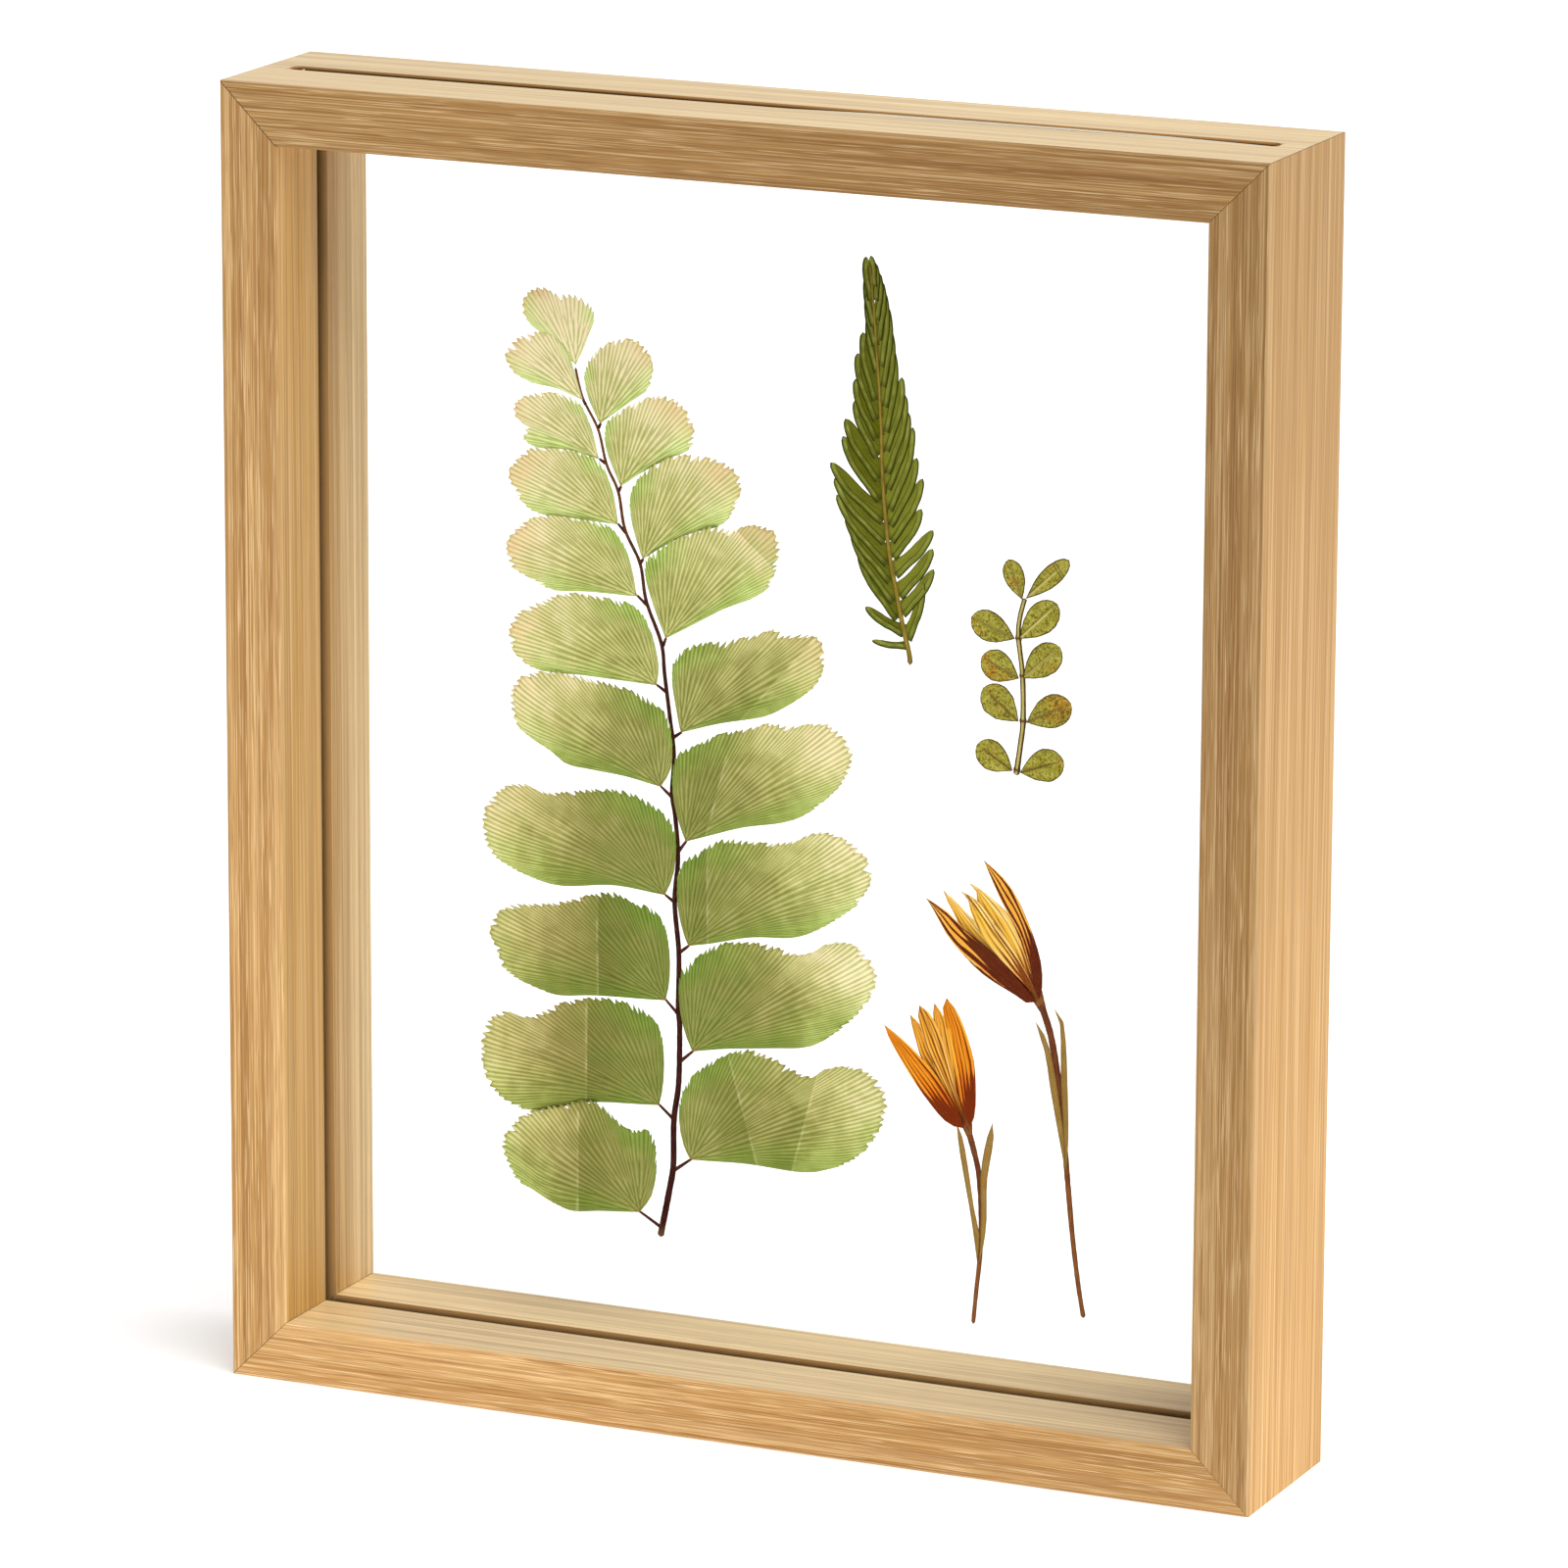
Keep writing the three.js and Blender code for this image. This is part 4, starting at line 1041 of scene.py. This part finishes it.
def addMaidenhairStem():
    look = maidenhairStem
    node = "maidenhair_stem"
    middle = middleOf(node)
    path = smoothPath(look["knots"])
    stalks = []
    for name, leaf in leaflets.items():
        if name == "tip":
            continue
        side, rank = name.split("_")
        count = 10 if side == "left" else 9
        drop = mix(*look["drops"], (int(rank) - 1) / count)
        base = leaf["base"]
        foot = pathPoint(path, heightOnPath(path, base[1] - drop))
        out = (base[0] + (base[0] - foot[0]) * 0.12, base[1] + (base[1] - foot[1]) * 0.12)
        stalks.append(addTube("stalk_" + name, [foot, base, out], look["stalkWidths"], middle,
                              look["flat"], columns=8, stepLength=0.3))
    stem = addTube("maidenhair_stalk", look["knots"], look["widths"], middle, look["flat"],
                   stepLength=0.5, roughness=0.08)
    giveOut(stem, makeStemMaterial("maidenhairStem", look), "maidenhair_stem", node)
    branches = joinPieces("maidenhair_branches", stalks)
    giveOut(branches, makeStemMaterial("maidenhairStalk", maidenhairStalk), "maidenhair_stem", node)


addMaidenhairStem()
print("maidenhair stem drawn")


# Feathered frond: narrow blades shingled along a pale midrib, each one's lower edge in front

fernLook = {
    "midrib": [(28.7, 152.8), (28.5, 155), (27.2, 160), (25.8, 166.5), (24.1, 175), (23.2, 183),
               (22.6, 191), (22.3, 200), (21.6, 210), (20.8, 220), (19.9, 229)],
    "widths": (1.08, 0.42), "thickness": 0.07, "columns": 14, "rows": 26, "bow": 0.05,
    "roundFrom": 0.55,
    "narrower": {-1: 0.94, 1: 0.95},
    "green": (0.108, 0.113, 0.002), "light": (0.185, 0.195, 0.014), "sheen": (0.34, 0.36, 0.07),
    "edge": (0.028, 0.032, 0.002), "backedShade": (0.62, 0.66, 0.5),
}
fernRib = {
    "body": (0.27, 0.19, 0.022), "dark": (0.08, 0.04, 0.008), "pale": (0.42, 0.33, 0.07),
    "gloss": 0.5,
    "edges": (0.95, 0.45), "foot": (0.24, 0.15, 0.05), "footReach": (0.0, 0.03),
}

# Height on the midrib, then the tip and the width of each blade
fernBlades = {
    "left": [
        (156.6, 20.7, 156.8, 1.4), (158.9, 19.3, 163.2, 2.2), (161.8, 17.8, 173.5, 3.1),
        (165.3, 16.3, 177.6, 3.3), (169, 15.1, 180.3, 3.3), (172.6, 13.2, 184.4, 3.2),
        (176.8, 12.7, 187.5, 3.3), (180.8, 11.9, 190.5, 3.2), (184.6, 14.4, 195.8, 3.4),
        (188.3, 14.9, 199.2, 3.4), (192.4, 16.9, 203, 3.4), (196.2, 16.9, 207, 3.3),
        (199.8, 17.3, 212, 3.2), (203.2, 18.4, 216.1, 2.9), (208.4, 19.4, 219.4, 1.7),
        (213, 19.1, 223.6, 1.6), (217.4, 18.9, 227, 1.7), (221.4, 18.9, 230.6, 1.9)],
    "right": [
        (157.4, 31.3, 169.1, 2.2), (162.9, 33.4, 171.8, 2.6), (166.2, 33.2, 175.7, 2.8),
        (169.7, 33.2, 179.3, 2.8), (173.2, 30.8, 183.2, 2.9), (176.3, 31, 189.1, 3.0),
        (179.5, 29.8, 193, 3.0), (182.9, 28.9, 198.8, 3.1), (186.2, 28, 201.5, 3.0),
        (189.6, 27.3, 204.8, 3.0), (193.4, 26.6, 208.2, 2.9), (197.4, 24.8, 213.3, 2.7),
        (201.4, 24.2, 217.1, 2.6), (205.9, 23.6, 221.4, 2.4), (210, 23, 224.1, 2.1),
        (214, 22.5, 226, 1.9), (217.9, 21.9, 227.6, 1.7), (221.5, 21.0, 229.5, 1.8),
        (224.6, 20.0, 230.9, 1.8)],
}


def addBlade(name, path, row, side, middle):
    look = fernLook
    height, tipX, tipZ, width = row
    foot = pathPoint(path, heightOnPath(path, height))
    acrossX, acrossZ = tipX - foot[0], tipZ - foot[1]
    bow = side * look["bow"]
    bent = (foot[0] + acrossX / 2 + bow * acrossZ, foot[1] + acrossZ / 2 - bow * acrossX)
    spine = smoothPath([foot, bent, (tipX, tipZ)])
    tone = 0.5 + 0.9 * ripple(height, side, 3.3, 2.0)

    def place(across, along):
        x, z = pathPoint(spine, along)
        x1, z1 = pathPoint(spine, along - 0.02)
        x2, z2 = pathPoint(spine, along + 0.02)
        span = math.dist((x1, z1), (x2, z2))
        sideX, sideZ = (z2 - z1) / span, -(x2 - x1) / span
        past = max(along - look["roundFrom"], 0) / (1 - look["roundFrom"])
        half = width * look["narrower"][side] / 2 * math.sqrt(max(1 - past ** 1.9, 0))
        half *= mix(1.3, 1.0, ease(0, 0.35, along))
        half *= 1 + 0.05 * ripple(along * 7, side, height)
        offset = half * (2 * across - 1)
        lower = across if side > 0 else 1 - across
        crown = 0.05 * math.cos(math.pi * (across - 0.5))
        y = middle - crown - 0.13 * (2 * lower - 1) + 0.03 * ripple(along * 4, across, height)
        marks = {"half": 0.5 + 0.5 * side, "tone": tone, "lower": lower, "up": along,
                 "inwards": (1 - lower) * 2 * half}
        return (x + sideX * offset, y, z + sideZ * offset), marks

    return thicken(bentGrid(name, look["columns"], look["rows"], place), look["thickness"])


def makeBladeMaterial():
    material, tree, shader = newMaterial("fernBlade", Specular_IOR_Level=0.04)
    place = coordinatesOf(tree)
    lines = placeGroup(lengthLines, Vector=place["UV"], Lines=9.0, Breaks=2.0)
    tissue = placeGroup(dryTissue, Vector=place["Object"], Blotch_Size=2.2, Speckle_Size=0.25)
    lower, up, inwards = mark(tree, "lower"), mark(tree, "up"), mark(tree, "inwards")
    look = blend(mark(tree, "half"), fernLook["green"], fernLook["light"])
    # each blade has a painted highlight just inside its lower edge and a dark line along its middle
    fromCrown = abs(inwards - 0.75)
    paintedHighlight = spread(fromCrown, 0.55, 0.1) * (tissue["Blotch"] * 0.5 + 0.25)
    paintedHighlight = mark(tree, "tone") * 0.14 + paintedHighlight
    look = blend(paintedHighlight, look, fernLook["sheen"])
    # where the next blade down lies behind, the two together are painted darker, as painted shade
    over = spread(lower, 0.6, 0.68) * spread(up, 0.85, 0.65, 0.0, 0.6)
    look = blend(over, look, fernLook["backedShade"], "MULTIPLY")
    look = blend(lines["Line"] * 0.4, look, fernLook["edge"])
    spine = spread(abs(inwards - 1.15), 0.22, 0.05, 0.0, 0.6)
    look = blend(spine * spread(up, 0.95, 0.7), look, fernLook["edge"])
    # a dark line along each lower edge and the tip, and painted shadow along the upper edge tucked
    # under the next blade
    rim = maths("MAXIMUM", spread(inwards, 0.4, 0.14), spread(lower, 0.07, 0.02))
    rim = maths("MAXIMUM", rim, spread(up, 0.96, 1.0))
    look = blend(rim * 0.92, look, fernLook["edge"])
    # painted shade at each blade's foot, by the midrib
    look = blend(spread(up, 0.12, 0.0, 0.0, 0.6), look, fernLook["edge"])
    look = blend(tissue["Speckle"] * 0.15, look, fernLook["sheen"])
    feed(shader.inputs["Base Color"], look)
    feed(shader.inputs["Roughness"], spread(tissue["Height"], 0.3, 0.7, 0.5, 0.68))
    bumpInto(shader, lines["Height"] + tissue["Height"], 0.5, 0.05)
    return material


def addFern():
    look = fernLook
    node = "fern_frond"
    path = smoothPath(look["midrib"])
    middle = middleOf(node) + 0.05
    blades = []
    for label, side in (("left", -1), ("right", 1)):
        for index, row in enumerate(fernBlades[label]):
            blades.append(addBlade(f"blade_{label}_{index}", path, row, side, middle))
    frond = joinPieces("fern_blades", blades)
    giveOut(frond, makeBladeMaterial(), "fern_blade", node)
    rib = addTube("fern_midrib", look["midrib"], look["widths"], middle - 0.2, 0.45)
    giveOut(rib, makeStemMaterial("fernMidrib", fernRib), "fern_blade", node)


addFern()
print("feathered frond laid")


# Round-leaved sprig

sprigLook = {
    "thickness": 0.1, "columns": 40, "rows": 48, "bumps": 0.045,
    "leaf": (0.31, 0.28, 0.026), "shade": (0.17, 0.145, 0.01), "light": (0.52, 0.47, 0.09),
    "rust": (0.42, 0.15, 0.01), "speckle": (0.07, 0.038, 0.004), "rib": (0.09, 0.035, 0.006),
    "paleRib": (0.6, 0.52, 0.15),
}
sprigStem = {
    "knots": [(50.6, 133.6), (51.4, 139.5), (51.9, 144.3), (51.7, 153), (50.8, 160.2), (51, 164),
              (52, 168)],
    "joints": (134.2, 144.2, 152.6, 160.2, 167.8), "swelling": (0.3, 0.42), "widths": (1.22, 1.0),
    "flat": 0.36,
    "body": (0.33, 0.24, 0.05), "dark": (0.05, 0.022, 0.006), "pale": (0.62, 0.52, 0.17),
    "knot": (0.1, 0.03, 0.012), "stripe": 0.75, "edges": (0.95, 0.95), "edgeStart": 0.25,
    "gloss": 0.5,
}

# Base and tip of each leaf, how pale its midrib is, and its rusty patches: place, size and strength
sprigLeaves = {
    "left_1": ((50.1, 134.6), (42.8, 138.9), 0.1, [(46, 138.5, 2, 0.15)]),
    "left_2": ((51.1, 144.2), (43.9, 150), 0.1, [(45.4, 151, 1.8, 0.4), (47, 147, 1.5, 0.2)]),
    "left_3": ((51.2, 152.6), (43.6, 156), 0.2,
               [(43.7, 156, 1.9, 0.95), (45.6, 153.4, 1.9, 0.95), (48, 152.3, 1.5, 0.6)]),
    "left_4": ((50.2, 160.1), (41.3, 163.4), 0.3,
               [(41.2, 162.8, 1.2, 0.55), (42.9, 160.9, 1, 0.45)]),
    "left_5": ((51.7, 167.9), (48.9, 175.3), 0.3,
               [(49.9, 171.3, 1.2, 0.65), (48.7, 174.6, 0.8, 0.3)]),
    "right_1": ((51.7, 134.4), (60.5, 137.6), 0.1, [(60, 137, 1.2, 0.35), (54, 135.2, 1, 0.2)]),
    "right_2": ((52.8, 144.2), (61.8, 148.7), 0.2,
                [(60.3, 148.8, 3.2, 0.95), (57.4, 150, 2.4, 0.75), (58.3, 146.4, 2.2, 0.7)]),
    "right_3": ((52.1, 152.7), (59.5, 159.4), 0.6, [(58.2, 155.4, 1.5, 0.4), (56, 155.6, 1, 0.3)]),
    "right_4": ((51.2, 160.2), (58.8, 167.6), 1.0, []),
    "right_5": ((52.5, 168.1), (61.2, 176.3), 0.9,
                [(56.9, 174.9, 0.9, 0.7), (60.6, 176.4, 1, 0.4)]),
}
sprigCrease = ((57.6, 175.7), (59.8, 172.6))


# The two sides of a plate that has a base and a tip, as paths from the one to the other
def twoSides(node, base, tip):
    points = outlineOf(node, base)
    turn = min(range(len(points)), key=lambda i: math.dist(points[i], tip))
    return makePath(points[:turn + 1]), makePath([points[0], *reversed(points[turn:])])


def addSprigLeaf(name, material):
    base, tip, pale, patches = sprigLeaves[name]
    node = "sprig_" + name
    first, second = twoSides(node, base, tip)
    middle = middleOf(node)
    seed = base[1] + tip[0]

    def place(across, along):
        even = 0.5 - 0.5 * math.cos(math.pi * along)
        (x1, z1), (x2, z2) = pathPoint(first, even), pathPoint(second, even)
        edge = 0 if across < 0.5 else 1
        bumps = ripple(along * 13, edge * 5, seed) + 0.5 * ripple(along * 30, edge * 5, seed)
        share = 0.5 + (across - 0.5) * (1 + sprigLook["bumps"] * bumps)
        x, z = mix(x1, x2, share), mix(z1, z2, share)
        ridge = (1 - 2 * pale) * 0.04 * math.exp(-((across - 0.5) / 0.05) ** 2)
        rim = -0.03 * abs(2 * across - 1) ** 4
        rust = 0.0
        for patchX, patchZ, size, strength in patches:
            away = math.dist((x, z), (patchX, patchZ)) + 0.5 * size * ripple(x, z, seed, 0.9)
            rust = max(rust, strength * ease(1.35 * size, 0.35 * size, away))
        crease = rightOf(sprigCrease, x, z) if name == "right_5" else 60.0
        outward = min(across, 1 - across) * 2 * math.dist((x1, z1), (x2, z2))
        toEnd = math.dist((x, z), tip) if along > 0.5 else math.dist((x, z), base)
        marks = {"rust": rust, "ribPale": pale, "crease": crease,
                 "inwards": min(outward, toEnd + 0.3),
                 "offRib": (across - 0.5) * math.dist((x1, z1), (x2, z2))}
        return (x, middle + ridge + rim + 0.02 * ripple(x, z, seed, 1.2), z), marks

    piece = bentGrid("sprig_leaf_" + name, sprigLook["columns"], sprigLook["rows"], place)
    thicken(piece, sprigLook["thickness"])
    giveOut(piece, material, "sprig_leaf", node)


def makeSprigLeafMaterial():
    material, tree, shader = newMaterial("sprigLeaf", Specular_IOR_Level=0.05)
    place = coordinatesOf(tree)
    along = split(place["UV"])["Y"]
    tissue = placeGroup(dryTissue, Vector=place["Object"], Blotch_Size=1.0, Speckle_Size=0.5)
    patches = placeGroup(dryTissue, Vector=place["Object"], Blotch_Size=3.2, Speckle_Size=0.36)
    look = blend(tissue["Blotch"] * 0.75, sprigLook["leaf"], sprigLook["light"])
    look = blend(patches["Blotch"] * 0.5, look, sprigLook["shade"])
    rusty = mark(tree, "rust") * (tissue["Blotch"] * 0.4 + 0.55)
    look = blend(rusty, look, sprigLook["rust"])
    look = blend(spread(tissue["Height"], 0.5, 0.6, 0.0, 0.75), look, sprigLook["speckle"])
    look = blend(spread(patches["Height"], 0.52, 0.62, 0.0, 0.7), look, sprigLook["light"])
    offRib = mark(tree, "offRib")
    reach = spread(along, 0.82, 0.55)
    rib = spread(abs(offRib), 0.32, 0.14) * reach
    ribTone = blend(mark(tree, "ribPale"), sprigLook["rib"], sprigLook["paleRib"])
    look = blend(rib * 0.85, look, ribTone)
    # painted shade along one side of a pale, raised midrib
    ribShade = abs(offRib - 0.3)
    ribShade = spread(ribShade, 0.2, 0.05, 0.0, 0.6) * reach
    look = blend(ribShade * mark(tree, "ribPale"), look, sprigLook["rib"])
    # the crease is painted: a highlight on one side and painted shade lines along the fold
    crease = mark(tree, "crease")
    look = blend(spread(crease, 0.05, -0.05, 0.0, 0.3), look, sprigLook["light"])
    for at in (0.0, -0.55):
        line = abs(crease - at)
        look = blend(spread(line, 0.2, 0.07, 0.0, 0.7), look, sprigLook["rib"])
    rim = spread(mark(tree, "inwards"), 0.6, 0.32, 0.0, 0.96)
    look = blend(rim, look, sprigLook["speckle"])
    feed(shader.inputs["Base Color"], look)
    feed(shader.inputs["Roughness"], spread(tissue["Height"], 0.3, 0.7, 0.45, 0.65))
    bumpInto(shader, tissue["Height"], 0.8, 0.09)
    return material


def addSprig():
    material = makeSprigLeafMaterial()
    for name in sprigLeaves:
        addSprigLeaf(name, material)
    look = sprigStem
    path = smoothPath(look["knots"])
    knots = [(heightOnPath(path, z) * path[1][-1], *look["swelling"]) for z in look["joints"]]
    stem = addTube("sprig_stalk", look["knots"], look["widths"], middleOf("sprig_stem"),
                   look["flat"],
                   columns=16, stepLength=0.25, roughness=0.08, lumps=knots)
    giveOut(stem, makeStemMaterial("sprigStem", look), "sprig_stem", "sprig_stem")


addSprig()
print("sprig laid")


# Flowers: long petals gathered at the base, a thin stem and two narrow bracts

flowerLook = {
    "petalThickness": 0.09, "petalSize": (36, 72), "petalPleats": 5.0, "petalDepth": 0.03,
    "bractSize": (10, 50), "bractPleats": 1.0, "bractDepth": 0.04, "warmth": (0.82, 0.56, 0.45),
    "stalkFlat": 0.4, "cupMiddle": 0.12, "cupFlat": 0.08,
    "petals": {
        "largeOuter": {
            "body": (0.95, 0.39, 0.035), "deep": (0.1, 0.012, 0.003),
            "pale": (1.0, 0.72, 0.24), "lines": 3.7, "stripes": 0.2, "baseReach": 0.75, "fine": 0.5,
            "rim": 0.25,
        },
        "largeInner": {
            "body": (0.96, 0.53, 0.05), "deep": (0.2, 0.045, 0.007),
            "pale": (1.0, 0.83, 0.4), "lines": 4.0, "stripes": -0.05, "baseReach": 0.55,
            "fine": 0.75, "rim": 0.35,
        },
        "smallOuter": {
            "body": (0.78, 0.212, 0.003), "deep": (0.17, 0.02, 0.0015),
            "pale": (0.96, 0.52, 0.06), "lines": 5.0, "stripes": 0.04, "baseReach": 0.7,
            "fine": 0.5, "rim": 0.5,
        },
        "smallInner": {
            "body": (0.88, 0.38, 0.03), "deep": (0.2, 0.045, 0.004),
            "pale": (0.95, 0.66, 0.22), "lines": 4.0, "stripes": 0.02, "baseReach": 0.45,
            "fine": 0.6, "rim": 0.45,
        },
    },
}
bractLook = {
    "body": (0.32, 0.185, 0.042), "dark": (0.13, 0.06, 0.015), "pale": (0.44, 0.3, 0.085),
    "gloss": 0.5,
}
flowerStem = {
    "body": (0.25, 0.085, 0.022), "dark": (0.09, 0.024, 0.008), "pale": (0.36, 0.15, 0.045),
    "gloss": 0.45,
    "top": (0.15, 0.036, 0.012), "topReach": (0.35, 0.7), "knot": (0.15, 0.085, 0.075),
    "edges": (0.35, 0.5),
}

# A streak runs between two points and has a reach to each side, a strength, and a dark or a pale
# tone. A vein is a fine dark line.
flowers = {
    "large_flower": {
        "stem": [(65.7, 28.4), (64.5, 35), (63.2, 44.5), (62.1, 55), (61.1, 65), (59.9, 75),
                 (58.4, 83),
                 (56.9, 87.6), (56, 89.6)],
        "cup": [(57.1, 87.2), (56.1, 89.5), (53.3, 94.8)], "widths": (0.95, 1.45),
        "cupWidths": (1.0, 4.6),
        "bracts": {"right": ((62, 57.5), (59.2, 89.1)), "left": ((61.7, 57.5), (55.3, 86))},
        "petals": [((55.9, 90.4), (44.3, 116.3), "largeOuter"),
                   ((55.2, 91.2), (41.3, 111.5), "largeInner"),
                   ((55.8, 90.6), (39.8, 109.8), "largeInner"),
                   ((54.6, 91.5), (35.8, 109.4), "largeInner"),
                   ((55.6, 90), (32.6, 107.8), "largeOuter")],
        "streaks": {
            1: [((55.6, 103), (56.4, 91), 1.4, 0.95, "dark"),
                ((51.8, 101.5), (54.9, 93), 0.55, 0.95, "pale")],
            2: [((47.5, 101.5), (50.8, 95), 0.8, 0.7, "pale")],
            3: [((46.8, 104), (54.2, 92.4), 0.6, 0.9, "dark")],
            4: [((47.8, 98.4), (50.8, 95), 0.8, 0.8, "pale")],
            5: [((39.5, 97.6), (50.4, 90.9), 0.35, 0.95, "pale"),
                ((42.5, 100), (54.5, 91), 2.0, 0.95, "dark")],
        },
        "veins": {3: ((41.3, 108.9), (51.5, 96.5)), 5: ((34.5, 106.6), (47, 98))},
    },
    "small_flower": {
        "stem": [(42.8, 24.3), (43.4, 31), (44.1, 38), (44.3, 44), (44.1, 50), (43.6, 55),
                 (42.6, 59),
                 (41.6, 62.3)],
        "cup": [(42, 61), (41.4, 63), (40.3, 67.4)], "widths": (0.85, 1.3), "cupWidths": (1.0, 3.7),
        "bracts": {"right": ((44.3, 37.5), (46.7, 65)), "left": ((43.7, 37), (39.2, 64))},
        "petals": [((42, 63.6), (36.9, 88.5), "smallOuter"),
                   ((41.2, 64.3), (34.2, 87.1), "smallInner"),
                   ((41.3, 63.5), (31.2, 86.4), "smallInner"),
                   ((40.6, 64.4), (29.1, 84.2), "smallInner"),
                   ((40.9, 63.3), (24.1, 81.8), "smallOuter")],
        "streaks": {
            1: [((37.2, 82), (40.0, 69), 0.6, 0.6, "pale"),
                ((42.4, 73), (42, 63.5), 1.2, 0.85, "dark")],
            5: [((32.5, 76.5), (38.6, 69.5), 0.5, 0.5, "pale"),
                ((34.5, 67.8), (40.5, 63), 1.5, 0.85, "dark")],
        },
        "veins": {3: ((31.8, 84.6), (40.6, 64.5))},
    },
}


def makePetalMaterial(name, look, seed):
    material, tree, shader = newMaterial(name, Specular_IOR_Level=0.06)
    place = coordinatesOf(tree)
    lines = placeGroup(lengthLines, Vector=place["UV"], Lines=look["lines"], Seed=seed, Breaks=1.1)
    tissue = placeGroup(dryTissue, Vector=place["Object"], Blotch_Size=2.0, Speckle_Size=0.2)
    tone = blend(lines["Fine"] * look["fine"], look["body"], look["pale"])
    tone = blend(lines["Rim"] * look["rim"], tone, look["pale"])
    tone = blend(spread(lines["Pleat"], 0.55, 0.85, 0.0, 0.4), tone, look["deep"])
    gilt = mark(tree, "pale") * (lines["Fine"] * 0.35 + 0.65)
    tone = blend(gilt, tone, look["pale"])
    # dark stripes widen and run together towards the base and along the dark streaks
    toBase = spread(lines["Along"], look["baseReach"], 0.0) ** 1.5
    tone = blend(spread(toBase, 0.0, 0.5), tone, flowerLook["warmth"], "MULTIPLY")
    push = toBase * 0.62 + look["stripes"]
    push = mark(tree, "dark") * 0.3 + push
    push = mark(tree, "pale") * -0.3 + push
    stripe = spread(lines["Pleat"] + push, 0.72, 0.92, 0.0, 0.97)
    tone = blend(stripe, tone, look["deep"])
    vein = spread(abs(mark(tree, "vein")), 0.28, 0.08, 0.0, 0.85)
    twin = abs(mark(tree, "vein") + 0.75)
    vein = maths("MAXIMUM", vein, spread(twin, 0.22, 0.05, 0.0, 0.5))
    tone = blend(vein, tone, look["deep"])
    tone = blend(spread(lines["Along"], 0.96, 1.0, 0.0, 0.6), tone, look["deep"])
    tone = blend(tissue["Speckle"] * 0.12, tone, look["deep"])
    feed(shader.inputs["Base Color"], tone)
    feed(shader.inputs["Roughness"], spread(tissue["Height"], 0.3, 0.7, 0.42, 0.62))
    bumpInto(shader, tissue["Height"] * 0.3 + lines["Height"], 0.7, 0.12)
    return material


# How far a point lies from the stretch between two others
def awayFrom(line, x, z):
    (x1, z1), (x2, z2) = line
    run, rise = x2 - x1, z2 - z1
    share = min(max(((x - x1) * run + (z - z1) * rise) / (run * run + rise * rise), 0), 1)
    return math.dist((x, z), (x1 + share * run, z1 + share * rise))


def addPetal(name, node, base, tip, material, slot, size, pleats, depth, streaks=(), vein=None):
    first, second = twoSides(node, base, tip)
    middle = middleOf(node)
    seed = base[0] + tip[0]

    def place(across, along):
        (x1, z1), (x2, z2) = pathPoint(first, along), pathPoint(second, along)
        x, z = mix(x1, x2, across), mix(z1, z2, across)
        sway = across + 0.04 * ripple(along * 5, across * 2, seed)
        wave = math.cos(2 * math.pi * pleats * sway)
        y = middle + depth * wave * ease(0, 0.2, along) + 0.02 * ripple(x, z, seed, 2.0)
        marks = {"dark": 0.0, "pale": 0.0, "vein": 9.0, "side": 2 * across - 1, "up": along}
        for start, end, reach, strength, tone in streaks:
            away = awayFrom((start, end), x, z) + 0.3 * ripple(x, z, seed, 0.8)
            marks[tone] = max(marks[tone], strength * ease(reach * 1.7, reach * 0.1, away))
        if vein and awayFrom(vein, x, z) < 1.6:
            marks["vein"] = rightOf(vein, x, z)
        return (x, y, z), marks

    piece = bentGrid(name, *size, place)
    thicken(piece, flowerLook["petalThickness"])
    giveOut(piece, material, slot, node)


def addFlower(name, petalMaterials, bractMaterial, stemMaterial):
    flower = flowers[name]
    look = flowerLook
    for index, (base, tip, kind) in enumerate(flower["petals"], 1):
        node = f"{name}_petal_{index}"
        addPetal(node.replace("flower_petal", "petal"), node, base, tip, petalMaterials[kind],
                 "petal",
                 look["petalSize"], look["petalPleats"], look["petalDepth"],
                 flower["streaks"].get(index, ()), flower["veins"].get(index))
    for side, (base, tip) in flower["bracts"].items():
        node = f"{name}_bract_{side}"
        addPetal(node.replace("flower_bract", "bract"), node, base, tip, bractMaterial, "bract",
                 look["bractSize"], look["bractPleats"], look["bractDepth"])
    node = name + "_stem"
    stalk = addTube("stalk", flower["stem"], flower["widths"], middleOf(node), look["stalkFlat"],
                    columns=12, stepLength=0.5, roughness=0.1)
    cup = addTube("cup", flower["cup"], flower["cupWidths"], look["cupMiddle"], look["cupFlat"],
                  columns=14, stepLength=0.2, roughness=0.1)
    stem = joinPieces(name.replace("flower", "flowerstalk"), [stalk, cup])
    giveOut(stem, stemMaterial, "flower_stem", node)


def addFlowers():
    look = flowerLook
    petalMaterials = {}
    for seed, (kind, tones) in enumerate(look["petals"].items()):
        petalMaterials[kind] = makePetalMaterial(kind + "Petal", tones, seed * 3.7)
    bract = makeStemMaterial("bractSkin", bractLook)
    stem = makeStemMaterial("flowerStem", flowerStem)
    for name in flowers:
        addFlower(name, petalMaterials, bract, stem)


addFlowers()
print("flowers laid")
